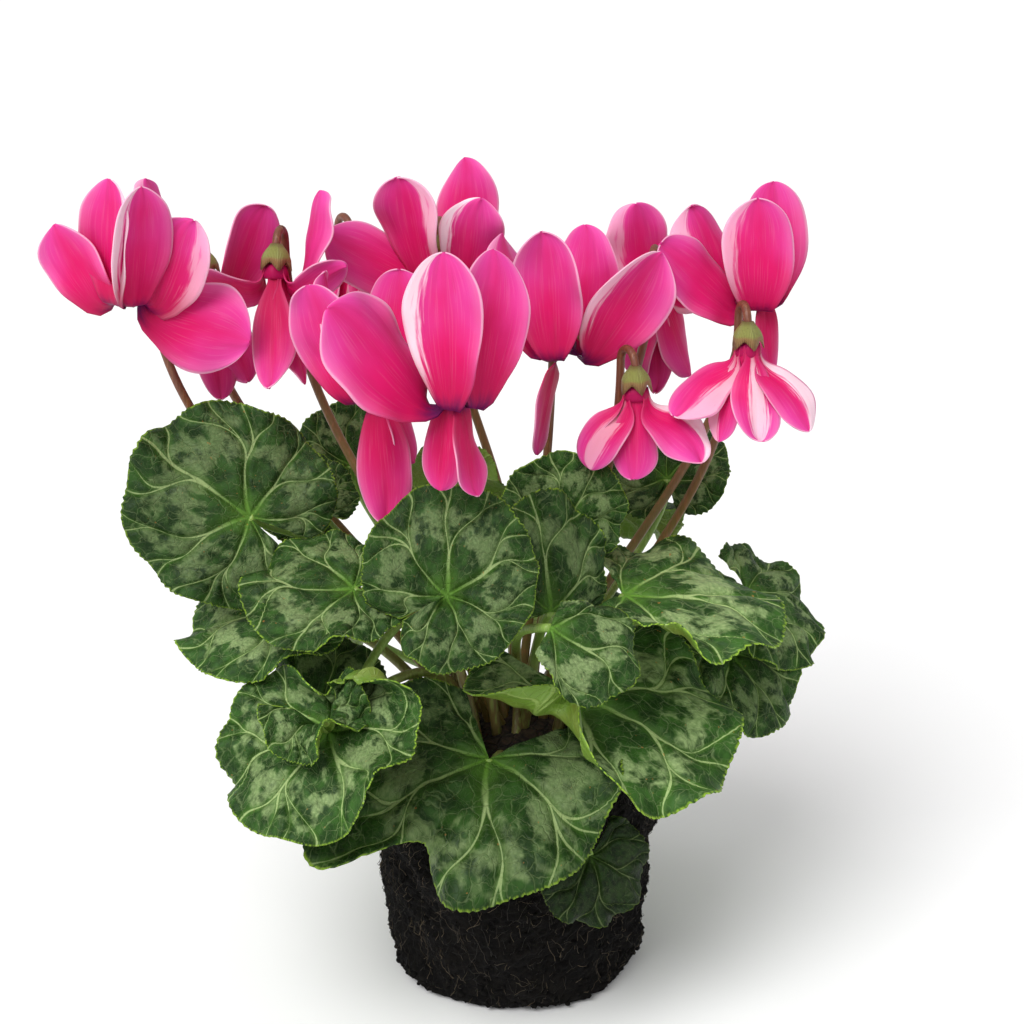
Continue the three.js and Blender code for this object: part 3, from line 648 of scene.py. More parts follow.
@dataclass(frozen=True)
class Leaf:
    """A leaf: where its blade and petiole meet, how the blade turns, curls and waves.

    at is the junction, facing the bearing the upper side turns to, tilt its lean from level, turn
    the tip's direction within the blade, reach the length from junction to tip. The petiole passes
    via a point halfway, or else rises by lift, and arrives at a slant. dents hold bearing, spread
    and depth. over is how far the one lobe winds on past the sinus, in degrees, as a smaller
    frilled layer over the blade. silver tunes the marbling. light is painted light and shade: it
    multiplies the upper face's colours, below 1 for a leaf in shade, above 1 for a lit one.
    """

    name: str
    ring: Ring
    at: tuple
    facing: float
    tilt: float
    turn: float
    reach: float
    broad: float = 1.0
    dish: float = 8.0
    cup: float = -10.0
    wave: float = 12.0
    waves: int = 5
    phase: float = 0.0
    droop: float = 0.0
    droop_from: float = 0.2
    spiral: float = 0.0
    sinus: float = 12.0
    skew: float = 0.0
    dents: tuple[tuple[float, float, float], ...] = ()
    curls: tuple[Curl, ...] = ()
    over: float = 0.0
    lift: float = 0.5
    arrive: float = 30.0
    via: tuple | None = None
    silver: float = 0.6
    # Painted light and shade: multiplies the upper face's colours for how lit the leaf stands.
    light: float = 1.0
    rings: int = 22
    crowding: float = 0.85
    plain_rings: int = 6
    thick: float = 0.45
    heart: tuple[float, float, float] = (0.83, 0.15, 0.04)
    notch: float = 0.38
    notch_spread: float = 26.0
    ripple: float = 0.018
    wound_loss: float = 0.56
    tooth: float = 0.9
    teeth_per_mm: float = 2.2
    tooth_start: float = 0.9
    frill: float = 17.0
    frill_waves: int = 9
    frill_start: float = 0.5
    quilt: float = 1.5
    quilt_fade: float = 0.6
    crinkle: float = 0.5
    crinkle_length: float = 13.0
    swell: float = 1.1
    swell_length: float = 30.0
    sums: int = 12
    petiole_radius: float = 1.9
    petiole_taper: tuple[float, float] = (1.08, 0.85)
    petiole_sides: int = 12
    petiole_steps: int = 28

    def axes(self) -> Array:
        """Directions of the blade, tilted from level and turned within its own plane.

        Returns:
            Unit vectors to the tip, to the side and out of the upper face.
        """
        out = bearing(self.facing)
        tilt, turn = math.radians(self.tilt), math.radians(self.turn)
        normal = out * math.sin(tilt) + UP * math.cos(tilt)
        down = out * math.cos(tilt) - UP * math.sin(tilt)
        tip = down * math.cos(turn) + np.cross(normal, down) * math.sin(turn)
        return np.array([tip, np.cross(normal, tip), normal])

    def outline(self, theta: Array) -> Array:
        """Length of the rays: a rounded heart of cosines, with a notch, a slight ripple and dents.

        Args:
            theta: Angles from the tip, in radians.

        Returns:
            Lengths in millimetres.
        """
        middle, first, second = self.heart
        rounded = middle + first * np.cos(theta) + second * np.cos(2 * theta)
        wide = 1 + (self.broad - 1) * np.sin(theta) ** 2
        notch_width = math.radians(self.sinus + self.notch_spread)
        past = (math.pi - np.abs(theta - math.radians(self.skew))) / notch_width
        lobes = 1 - self.notch * np.exp(-2.2 * past**2)
        length = self.reach * rounded * wide * lobes * (1 + self.ripple * np.cos(9 * theta + self.phase))
        return length * self.kept(theta) * (1 - self.wound_loss * smooth(self.wound(theta) / 0.9))

    def kept(self, theta: Array) -> Array | float:
        """Share of each ray that the dents leave: one less each bell, multiplied."""
        return math.prod(1 - depth * near(theta, at, spread) for at, spread, depth in self.dents)

    def wound(self, theta: Array) -> Array:
        """How far an angle lies past the sinus in the layer that winds on, in radians."""
        limit = math.pi - math.radians(self.sinus)
        return np.maximum(math.radians(self.skew) - limit - theta, 0) * (self.over > 0)

    def slope(self, theta: Array, share: Array) -> Array:
        """Slope of the blade along its rays: a dish, its change outwards, waves, a frill and curls.

        Args:
            theta: Angles from the tip, in radians.
            share: Shares of the way out.

        Returns:
            Slopes in radians.
        """
        degrees = self.dish + self.cup * share
        wound = smooth(self.wound(theta) / 0.5)
        degrees = degrees + self.wave * share**2 * np.sin(self.waves * theta + self.phase)
        frill = np.sin(self.frill_waves * theta + 2.3 * self.phase + 1.3 * np.sin(2 * theta + self.phase))
        degrees = degrees + self.frill * smooth((share - self.frill_start) / (1 - self.frill_start)) * frill
        for curl in self.curls:
            begun = smooth((share - curl.start) / (1 - curl.start))
            degrees = degrees + curl.roll * near(theta, curl.at, curl.spread) * begun * (1 - wound)
        return np.radians(degrees + wound * share * (18 + 46 * np.sin(3.3 * theta)))

    def blade(self, theta: Array, share: Array) -> Array:
        """Points of the blade's middle surface.

        Each ray runs out by the summed cosine and up by the summed sine of its slope. Past the
        droop's start the blade follows an arc. Teeth lengthen the rays near the margin.

        Args:
            theta: Angles from the tip, as a grid.
            share: Shares of the way out, as a grid.

        Returns:
            Places in millimetres.
        """
        part = (np.arange(self.sums) + 0.5) / self.sums
        lean = self.slope(theta[..., None], part * share[..., None])
        run, rise = (f(lean).mean(-1) * share for f in (np.cos, np.sin))
        tooth = np.abs(np.sin(theta * self.teeth() / 2)) ** 0.7
        grown = smooth((share - self.tooth_start) / (1 - self.tooth_start))
        length = self.outline(theta) + self.tooth * tooth * grown
        along, across = length * run * np.cos(theta), length * run * np.sin(theta)
        height = length * rise + self.spiral * theta / math.tau * smooth(share * 3)
        past = self.wound(theta)
        climb = 6 * smooth(past / 0.8) + 2.2 * past + self.spiral * past / math.pi
        height = height + climb * smooth(share * 2.5)
        start = self.droop_from * self.reach
        if self.droop:
            bend = math.radians(self.droop) / (self.reach - start)
            angle = np.maximum(along - start, 0) * bend
            over = along > start
            along, height = (
                np.where(over, start + (1 / bend + height) * np.sin(angle), along),
                np.where(over, (1 / bend + height) * np.cos(angle) - 1 / bend, height),
            )
        return np.array(self.at, float) + np.stack([along, across, height], axis=-1) @ self.axes()

    def teeth(self) -> int:
        """Number of teeth in a full turn."""
        return round(self.reach * self.teeth_per_mm)

    def grid(self) -> tuple[Array, Array]:
        """The blade's grid, two columns a tooth and its rings closer together towards the margin.

        Returns:
            Angles from the tip and shares of the way out.
        """
        limit = math.pi - math.radians(self.sinus)
        cells = round(2 * self.teeth() * (1 + self.over / 360))
        theta = math.radians(self.skew) + np.linspace(-limit - math.radians(self.over), limit, cells + 1)
        share = np.linspace(0, 1, self.rings + 1) ** self.crowding
        return np.meshgrid(theta, share)

    def relief(self, theta: Array, share: Array, seed: float) -> Array:
        """Height of the quilted face: it swells between the veins, fades at the margin and crinkles.

        Args:
            theta: Angles from the tip, in radians.
            share: Shares of the way out.
            seed: Shift of the vein net.

        Returns:
            Heights in millimetres.
        """
        drawn = share * self.kept(theta)
        theta = (theta + math.pi) % math.tau - math.pi
        raised = ramp(VEINS.distance(theta, drawn, seed), 0.0, 0.08) * self.quilt * smooth(share * 4)
        raised = raised * (1 - self.quilt_fade * smooth((share - 0.85) / 0.15))
        flat = polar(drawn, theta, 0.0) * self.reach
        draw = int(seed * 10)
        crinkle = self.crinkle * ripples(flat, self.crinkle_length, draw) * smooth(share * 3)
        swell = self.swell * ripples(flat, self.swell_length, draw + 1) * share**2
        return raised - 0.5 + crinkle + swell

    def petiole(self, angle: float) -> Array:
        """Path of the petiole from its hole to the junction, a cubic curve.

        Args:
            angle: Bearing of the hole.

        Returns:
            Points along the path.
        """
        tip, _, normal = self.axes()
        root = root_point(angle, self.ring)
        end = np.array(self.at, float) - 0.4 * normal
        gap = float(np.linalg.norm(end - root))
        arrive = math.radians(self.arrive)
        second = end - (normal * math.cos(arrive) + tip * math.sin(arrive)) * gap * 0.33
        if self.via:
            first = through(self.via, root, second, end)
        else:
            first = root + bearing(angle) * 0.28 * gap * self.lift + UP * 0.8 * gap * self.lift
        return bezier(root, first, second, end, self.petiole_steps)

    def build(self, angle: float, seed: float, materials: list[Material]) -> Object:
        """Makes the blade and its petiole.

        Args:
            angle: Bearing of the petiole's hole.
            seed: Shift of the vein net.
            materials: Upper, under and stalk.

        Returns:
            The leaf.
        """
        theta, share = self.grid()
        middle = self.blade(theta, share)
        normals = normals_of(middle)
        normals[0] = self.axes()[2]
        middle = middle + normals * self.relief(theta, share, seed)[..., None]
        drawn = share * self.kept(theta)
        share[self.plain_rings :, [0, -1]] = 1.0  # the notch's edges are margin too
        uv = polar(drawn * BLADE_SHARE, theta, share) + (0.5, 0.5, 0.0)
        skin = Skin()
        # The tone carries the vein seed, the silver and the leaf's painted light.
        tone = (seed, self.silver, self.light)
        skin.sheet(middle, self.thick, uv, tone, Face.UPPER.value, Face.UNDER.value, pole=True)
        path = self.petiole(angle)
        taper = np.linspace(*self.petiole_taper, len(path))
        skin.tube(path, self.petiole_radius * taper, self.petiole_sides, tone, Face.STALK.value)
        return skin.build(f"{self.name}_leaf", materials)


@dataclass(frozen=True)
class Petal:
    """A petal: heading round the mouth, rise above level once it has turned back, twist of its face.

    curl is how far its outer part bends up, or down below zero, in degrees. stripe is the place
    across the petal, -1 to 1, and the strength of its pale feathered stripe, depth how crimson it is.
    """

    heading: float
    rise: float
    twist: float
    length: float
    width: float
    curl: float = 0.0
    stripe: tuple[float, float] = (0.0, 0.0)
    depth: float = 0.0
    lip: float = 7.0
    dive: float = 80.0
    bend: float = 12.0
    hanging: float = -60.0
    throat_radius: float = 3.6
    inside_radius: float = 2.2
    crest: float = 0.68
    flare: float = 0.15
    base: float = 2.6
    widest: float = 0.54
    blunt: float = 0.57
    blunt_spread: float = 0.09
    cup: float = 0.09
    cup_spread: float = 0.07
    own_twist: float = 16.0
    crease: float = 0.35
    crease_width: float = 0.12
    ragged: float = 0.05
    ragged_waves: int = 9
    waving: float = 2.4
    waving_length: float = 24.0
    sway: float = 0.28
    thick: float = 0.5
    steps: int = 60
    rows: int = 38
    across: int = 18

    def half_width(self, share: Array, seed: int) -> Array:
        """Half width: it grows by a power to the crest, then closes to a round or blunt-pointed tip.

        Args:
            share: Shares of the way along the petal.
            seed: Shift of the tip's form.

        Returns:
            Half widths in millimetres.
        """
        grown = 1 - (1 - np.clip((share - self.flare) / (self.crest - self.flare), 0, 1)) ** 2.3
        past = np.clip((share - self.crest) / (1 - self.crest), 0, 1)
        widest = self.width * self.widest
        pointed = self.blunt + self.blunt_spread * math.sin(2.7 * seed + 1)
        rounded = widest * (1 - np.minimum(past, 0.999) ** 2) ** pointed
        return np.where(share < self.crest, self.base + (widest - self.base) * grown, rounded)

    def slope(self, along: Array) -> Array:
        """Slope of the spine: a dive through the throat, a bend back to the rise, then the curl.

        Args:
            along: Lengths along the spine, in millimetres.

        Returns:
            Slopes above level, in radians.
        """
        turned = (self.rise + self.dive) * smooth((along - self.lip * 0.55) / self.bend)
        curled = self.curl * smooth((along - self.lip) / self.length)
        return np.radians(turned - self.dive + curled)


# Walls of a bloom from the inside out: radius about the axis and height over the nose, and for the
# calyx also how far the wall flares and drops at the sepals' points.
THROAT = (
    (0.5, -1.6), (0.7, -0.6), (0.8, 1.6), (2.4, 1.8), (2.9, 1.0), (3.3, 0.45), (3.9, 0.3),
    (4.5, 0.7), (4.8, 1.6), (4.9, 2.8), (4.6, 4.2), (4.0, 5.5), (3.0, 6.2),
)
CALYX = (
    (2.0, 8.6, 0, 0), (4.3, 8.4, 0, 0), (4.9, 6.9, 0.8, 3.4), (5.3, 6.7, 0.9, 3.6), (5.35, 8.2, 0.3, 0.6),
    (4.9, 9.6, 0, 0), (4.0, 11.0, 0, 0), (2.9, 12.3, 0, 0), (2.1, 13.6, 0, 0),
)


@dataclass(frozen=True)
class Flower:
    """A flower on its hooked stem.

    nose is the dark mouth of the bloom, facing the bearing it nods towards, tilt how far the nose
    swings out from straight down, via a point halfway up the stem.
    """

    name: str
    ring: Ring
    nose: tuple
    facing: float
    tilt: float
    via: tuple
    petals: tuple[Petal, ...]
    stem_radius: float = 1.8
    stem_sides: int = 12
    stem_steps: int = 44
    hook_radius: float = 6.0
    hook_run: float = 2.0
    hook_steps: int = 16
    joint_height: float = 13.0
    swung: float = 12.0
    purple_length: float = 0.22
    lobe: float = 0.05
    rib: float = 0.12

    def axes(self) -> tuple[Array, Array, Array]:
        """Directions of the bloom, swung out from straight down.

        Returns:
            Unit vectors up its axis, ahead and beside.
        """
        tilt, out = math.radians(self.tilt), bearing(self.facing)
        up = UP * math.cos(tilt) - out * math.sin(tilt)
        ahead = unit(out - up * (out @ up))
        return up, ahead, np.cross(up, ahead)

    def around(self, degrees: Array, radius: Array, height: Array) -> Array:
        """Places about the bloom's axis.

        Args:
            degrees: Bearings from straight ahead.
            radius: Distances from the axis.
            height: Heights over the nose.

        Returns:
            Places in millimetres.
        """
        up, ahead, beside = self.axes()
        angle = np.radians(degrees)[..., None]
        flat = ahead * np.cos(angle) + beside * np.sin(angle)
        return np.array(self.nose, float) + flat * radius[..., None] + up * height[..., None]

    def petal(self, skin: Skin, petal: Petal, seed: int) -> None:
        """Adds a petal: down through the throat, sharply back over the mouth, then out along its rise.

        The spine sums unit steps at its slope. The face turns by the twist, its edges bow back by
        the square of the distance from the middle, and the margin waves a little.

        Args:
            skin: The mesh it goes into.
            petal: Its sizes.
            seed: Seed of the margin's waves.
        """
        up, _, _ = self.axes()
        nose = np.array(self.nose, float)
        out = self.around(np.array(petal.heading - self.facing), np.array(1.0), np.array(0.0)) - nose
        side = np.cross(up, out)
        total = petal.length + petal.lip
        even = np.linspace(0, 1, petal.steps + 1)
        middle = petal.slope((even[:-1] + 0.5 / petal.steps) * total)[:, None]
        step = (np.cos(middle) * out + np.sin(middle) * up) * total / petal.steps
        start = petal.inside_radius if petal.rise < petal.hanging else petal.throat_radius
        spine = nose + out * start + up * petal.lip * 0.75
        spine = spine + np.concatenate([np.zeros((1, 3)), np.cumsum(step, axis=0)])
        share = np.sin(np.linspace(0, math.pi / 2, petal.rows)) * 0.9995
        spine = np.stack([np.interp(share, even, spine[:, k]) for k in range(3)], axis=-1)
        along = share * total
        lean = petal.slope(along)[:, None]
        tangent = np.cos(lean) * out + np.sin(lean) * up
        twisted = smooth((along - petal.lip * 0.3) / (0.32 * petal.length))
        own_turn = math.radians(petal.own_twist * math.sin(2.3 * seed + 1))
        turn = (np.radians(petal.twist) * twisted + own_turn * share**2)[:, None]
        across = side * np.cos(turn) + np.cross(tangent, side) * np.sin(turn)
        normal = np.cross(tangent, across)
        half = petal.half_width(share, seed)[:, None]
        share = share[:, None]
        w = np.linspace(-1, 1, petal.across + 1)[None, :]
        cup = petal.cup + petal.cup_spread * math.sin(3.1 * seed)
        bow = 2 * cup * half * smooth(2 * share) * w**2 * (1 + 0.4 * np.sin(1.9 * seed) * w)
        crease = petal.crease * np.exp(-((w / petal.crease_width) ** 2)) * smooth(share * 3)
        rough = np.sin(petal.ragged_waves * share + 2.1 * seed + np.sign(w) * 1.9)
        ragged = 1 + petal.ragged * rough * np.abs(w)
        points = spine[:, None] + across[:, None] * (half * w * ragged)[..., None]
        wavy = ripples(points, petal.waving_length, seed) * petal.waving
        wavy = wavy * smooth(share * 2) * np.abs(w) ** 1.3
        sway = math.sin(1.7 * seed) * petal.sway * half * share**2
        points = points + across[:, None] * (sway * (1 - 0.5 * w**2))[..., None]
        points = points - normal[:, None] * (bow + crease + wavy)[..., None]
        paler = self.paler()
        uv = np.stack(np.broadcast_arrays(w * 0.5 + 0.5, paler + share * (1 - paler)), axis=-1)
        skin.sheet(points, petal.thick, uv, (*petal.stripe, petal.depth))

    def paler(self) -> float:
        """How far along the petal's colours a bloom starts: past the purple if its back is seen."""
        return self.purple_length if self.petals[0].curl or self.tilt > self.swung else 0.0

    def throat(self, skin: Skin) -> None:
        """Adds the ring that the petals spring from, a lobed lathe with the dark mouth and the style.

        Args:
            skin: The mesh it goes into.
        """
        profile = np.array(THROAT)
        degrees = np.linspace(0, 360, 30, endpoint=False)
        lobes = 1 + self.lobe * np.cos(np.radians(degrees * len(self.petals)))
        rings = self.around(degrees[None, :], profile[:, :1] * lobes, profile[:, 1:] + 0 * lobes)
        skin.lathe(rings, np.zeros((*rings.shape[:2], 2)) + (0.5, 0.02 + self.paler()))

    def bloom(self, materials: list[Material]) -> Object:
        """Makes the petals and the throat.

        Args:
            materials: The petals' finish.

        Returns:
            The bloom.
        """
        skin = Skin()
        self.throat(skin)
        for k, petal in enumerate(self.petals):
            self.petal(skin, petal, 10 * int(self.name) + k)
        return skin.build(f"bloom_{self.name}", materials)

    def stem(self, angle: float) -> Array:
        """Path of the stem: a cubic curve up, a half hoop over, and a short run down to the bloom.

        Args:
            angle: Bearing of its hole.

        Returns:
            Points along the path.
        """
        up, _, _ = self.axes()
        out = bearing(self.facing) * self.hook_radius
        swing = math.pi - math.radians(self.tilt)
        neck = np.array(self.nose, float) + up * self.joint_height
        top = neck - UP * self.hook_radius * math.sin(swing) - out * (1 - math.cos(swing))
        root = root_point(angle, self.ring)
        second = top - UP * 0.4 * float(np.linalg.norm(top - root))
        rise = bezier(root, through(self.via, root, second, top), second, top, self.stem_steps)
        turned = np.linspace(0, swing, self.hook_steps + 1)[1:, None]
        hoop = top + UP * self.hook_radius * np.sin(turned) + out * (1 - np.cos(turned))
        return np.concatenate([rise, hoop, hoop[-1:] - up * self.hook_run])

    def calyx(self, skin: Skin) -> None:
        """Adds the cup of five pointed sepals over the back of the bloom.

        Its inner wall runs from the floor down to the points, and its outer wall over the shoulder
        up to the stem. The points' height falls with a triangle wave of five to the turn.

        Args:
            skin: The mesh it goes into.
        """
        degrees = np.linspace(0, 360, 60, endpoint=False)
        fifth = (degrees + self.facing) / 72 % 1
        sepal = np.abs(fifth - 0.5) * 2
        rib = self.rib * np.cos(np.radians((degrees + self.facing) * 5))
        rings = np.array([
            self.around(degrees, radius + flare * sepal + rib, height - drop * sepal**1.3)
            for radius, height, flare, drop in CALYX
        ])
        uv = np.stack(np.meshgrid(fifth, np.linspace(0, 1, len(rings))), axis=-1)
        skin.lathe(rings, uv, number=CALYX_NUMBER)

    def stalk(self, angle: float, materials: list[Material]) -> Object:
        """Makes the stem and its calyx.

        Args:
            angle: Bearing of the stem's hole.
            materials: Finishes of stem and calyx.

        Returns:
            The stalk.
        """
        skin = Skin()
        path = self.stem(angle)
        share = np.linspace(0, 1, len(path))
        skin.tube(path, self.stem_radius * (1.05 - 0.2 * share), self.stem_sides)
        self.calyx(skin)
        return skin.build(f"stalk_{self.name}", materials)


def socket_angles(rows: list[Leaf | Flower]) -> list[float]:
    """Bearings of the holes, as near as may be to where each stalk leans, kept apart on each ring.

    Args:
        rows: Leaves, then flowers.

    Returns:
        One bearing a row, in degrees.
    """
    pitch, rounds = 6.3, 400
    angles = [0.0] * len(rows)
    for ring in Ring:
        group = []
        for k, row in enumerate(rows):
            if row.ring is ring:
                x, y, _ = row.via or (row.at if isinstance(row, Leaf) else row.nose)
                group.append([math.degrees(math.atan2(y, x)) % 360, k])
        group.sort()
        apart = math.degrees(pitch / ring.value)
        for _ in range(rounds):
            for i, before in enumerate(group):
                after = group[(i + 1) % len(group)]
                between = after[0] - before[0] + (360 if i + 1 == len(group) else 0)
                push = max(0.0, apart - between) / 2
                before[0] -= push
                after[0] += push
        for angle, k in group:
            angles[k] = angle
    return angles


@dataclass(frozen=True)
class Tuber:
    """The flattened tuber that everything grows from, seated in the top of the root ball."""

    radius: float = 28.0
    top: float = 103.0
    fall: float = 6.0
    bottom: float = 86.0
    socket_depth: float = 4.0
    rows: int = 40
    sides: int = 120

    def build(self, material: Material) -> Object:
        """Makes the tuber: a lathe with corky dents, its top falling from the middle to a round rim.

        Args:
            material: Its finish.

        Returns:
            The tuber.
        """
        rim = tuber_height(self.radius)
        corners = np.array([
            (2.0, self.bottom), (self.radius - 4, self.bottom), (self.radius - 0.6, self.bottom + 4),
            (self.radius, rim - 3), (self.radius - 1.2, rim - 0.8), (self.radius - 4, rim + 0.2),
            (1.0, self.top - 0.4),
        ])
        walk = np.append(0, np.cumsum(np.linalg.norm(np.diff(corners, axis=0), axis=1)))
        at = np.linspace(0, walk[-1], self.rows)
        radius, height = (np.interp(at, walk, corners[:, k])[:, None] for k in (0, 1))
        rings = polar(radius, turns(self.sides), height)
        dents = 0.5 * ripples(rings, 9, 71) + 0.35 * np.abs(ripples(rings, 4, 72)) - 0.4
        dents = dents * np.minimum(radius / 4, 1)
        rings[..., 2] += dents
        rings[..., :2] *= 1 + (dents / self.radius)[..., None]
        skin = Skin()
        skin.lathe(rings)
        return skin.build("corm", [material])


@dataclass(frozen=True)
class RootBall:
    """The ball of compost bound by fine roots, with the shape of the pot it grew in."""

    height: float = 97.0
    foot_radius: float = 49.0
    top_radius: float = 58.0
    foot_edge: float = 6.0
    top_edge: float = 3.0
    lump: float = 1.3
    recess: float = 28.4
    recess_floor: float = 85.6
    sides: int = 300
    pitch: float = 1.15
    fibres: int = 2300
    crumbs: int = 700
    crumb_sides: int = 6
    top_roots: int = 160
    root_sides: int = 3
    root_radii: tuple[float, ...] = (0.1, 0.14, 0.2)
    root_odds: tuple[float, ...] = (0.55, 0.35, 0.1)
    root_lift: float = 0.25
    foot_flatness: float = 0.7
    edge_width: float = 6.0
    seed: int = 5

    def radius(self, angle: Array, height: Array) -> Array:
        """Radius of the side: a cone with lumps of three crossed sine waves, some 30 mm apart.

        Args:
            angle: Bearings in radians.
            height: Heights in millimetres.

        Returns:
            Radii in millimetres.
        """
        broad = np.sin(5 * angle + 0.12 * height + 1.3 * np.sin(0.1 * height))
        mid = np.sin(9 * angle - 0.15 * height + 1) * np.sin(0.17 * height + 2 * angle)
        fine = np.sin(11 * angle + 0.21 * height + 2)
        cone = self.foot_radius + (self.top_radius - self.foot_radius) * height / self.height
        return cone + self.lump * (0.7 * broad + 0.6 * mid + 0.5 * fine)

    def crumble(self, points: Array) -> Array:
        """Depth of the rough grain: folded waves of two sizes and plain ones of a third.

        Args:
            points: Places in millimetres.

        Returns:
            Depths in millimetres.
        """
        coarse = np.abs(ripples(points, 10, 51))
        grain = np.abs(ripples(points, 4.6, 52))
        dust = ripples(points, 2.4, 53, 20)
        return 0.7 * coarse + 0.9 * grain + 0.5 * dust - 0.85

    def profile(self) -> Array:
        """Outline from the middle of the foot over both rounded edges to the recess floor.

        Returns:
            Rows of inset from the side, height and share of the grain.
        """
        edge = np.radians(np.linspace(0, 90, 8))
        turned, risen = 1 - np.sin(edge), 1 - np.cos(edge)
        foot = np.linspace(self.foot_radius, self.foot_edge, 26)
        lower = np.stack([self.foot_edge * turned, self.foot_edge * self.foot_flatness * risen], axis=-1)
        count = round((self.height - 2 * self.foot_edge) / self.pitch)
        side = np.linspace(lower[-1, 1], self.height - self.top_edge, count)[1:-1]
        upper = np.stack([self.top_edge * risen, self.height - self.top_edge * turned], axis=-1)
        inner = np.linspace(self.top_edge, self.top_radius - self.recess, 24)[1:]
        deep = self.top_radius - self.recess
        return np.array([
            *((inset, 0.0, 0.0) for inset in foot[:-1]),
            *((inset, height, min(1.0, height / 1.5)) for inset, height in lower),
            *((0.0, height, 1.0) for height in side),
            *((inset, height, 1.0) for inset, height in upper),
            *((inset, self.height, 1.0) for inset in inner),
            (deep + 0.2, self.height - 4, 0.2),
            (deep + 0.4, self.recess_floor, 0.0),
            (self.top_radius - 1, self.recess_floor, 0.0),
        ])

    def body(self, skin: Skin) -> None:
        """Adds the ball: the profile carried round, with the grain pushed outwards and upwards.

        Args:
            skin: The mesh it goes into.
        """
        inset, height, grain = self.profile().T[..., None]
        angle = turns(self.sides)
        turned = np.clip(inset / self.edge_width, 0, 1)
        inward, low = turned * (height > self.height / 2), turned * (height < self.height / 2)
        radius = self.radius(angle, height) * (1 - inward) + self.top_radius * inward - inset
        radius = radius * (1 - low) + np.maximum(self.foot_radius - inset, 0.5) * low
        points = polar(radius, angle, height)
        push = self.crumble(points) * grain
        outward = unit(points * (1, 1, 0))
        points = points + outward * (push * (1 - inward))[..., None] + UP * (push * inward)[..., None]
        points[..., 2] = np.maximum(points[..., 2], 0)
        skin.lathe(points)

    def fibre(self, skin: Skin, rng: np.random.Generator) -> None:
        """Adds a fine root that wanders over the side by a summed heading, now and then lifting.

        Args:
            skin: The mesh it goes into.
            rng: Source of its length, place and bends.
        """
        length = rng.uniform(2.5, 7) if rng.random() < 0.75 else rng.uniform(7, 18)
        steps = 3 + int(length / 2.2)
        t = np.linspace(0, 1, steps)
        lean = rng.normal(0, 0.55) + (math.pi / 2 if rng.random() < 0.12 else 0)
        bend = rng.normal(0, 0.35)
        heading = lean + bend * np.sin(t * rng.uniform(2, 8) + rng.uniform(0, 6)) + rng.normal(0, 0.18, steps)
        z = rng.uniform(1.5, self.height - 3) + np.cumsum(np.cos(heading)) * length / steps
        angle = rng.uniform(0, math.tau) + np.cumsum(np.sin(heading)) * length / steps / self.top_radius
        z = np.clip(z, 0.6, self.height - 0.5)
        radius = self.radius(angle, z)
        lift = self.root_lift + rng.uniform(0, 0.5) * np.sin(t * math.pi)
        path = polar(radius + self.crumble(polar(radius, angle, z)) + lift, angle, z)
        thick = rng.choice(self.root_radii, p=self.root_odds)
        skin.tube(path, thick * (1 - 0.5 * t), self.root_sides, (rng.random(), 0, 0), ROOT_NUMBER)

    def crumb(self, skin: Skin, rng: np.random.Generator) -> None:
        """Adds a crumb of compost: a lumpy bead of three rings, half sunk in the side or on the top.

        Args:
            skin: The mesh it goes into.
            rng: Source of its place and size.
        """
        angle, z = rng.uniform(0, math.tau), rng.uniform(2, self.height if rng.random() < 0.6 else 14)
        radius = self.radius(angle, z)
        if rng.random() < 0.3:
            radius, z = rng.uniform(self.recess + 2, self.top_radius - 3), self.height
        size = rng.uniform(0.5, 1.5)
        rows = []
        for level in (-0.6, 0.0, 0.6):
            wide = math.sqrt(1 - level**2) * rng.uniform(0.8, 1.2, self.crumb_sides)
            rows.append(polar(radius, angle, z) + polar(wide, turns(self.crumb_sides), level) * size)
        skin.lathe(np.array(rows), tone=(rng.random(), 0, 0))

    def top_root(self, skin: Skin, rng: np.random.Generator) -> None:
        """Adds a fine root lying on the top of the compost, its path a sum of turning steps.

        Args:
            skin: The mesh it goes into.
            rng: Source of its place and bends.
        """
        angle = rng.uniform(0, math.tau)
        place = bearing(math.degrees(angle)) * rng.uniform(self.recess + 2, self.top_radius - 4)
        heading = rng.uniform(0, math.tau) + np.cumsum(rng.normal(0, 0.35, 8))
        path = place + polar(1.0, heading, 0.0).cumsum(0) * 1.3
        path[:, 2] = self.height + 0.5
        skin.tube(path, rng.uniform(0.12, 0.25), self.root_sides, (rng.random(), 0, 0), ROOT_NUMBER)

    def build(self, materials: list[Material]) -> Object:
        """Makes the ball with its crumbs and fine roots.

        Args:
            materials: Compost and fine roots.

        Returns:
            The root ball.
        """
        rng = np.random.default_rng(self.seed)
        skin = Skin()
        self.body(skin)
        parts = ((self.crumb, self.crumbs), (self.fibre, self.fibres), (self.top_root, self.top_roots))
        for add, count in parts:
            for _ in range(count):
                add(skin, rng)
        return skin.build("compost_ball", materials)


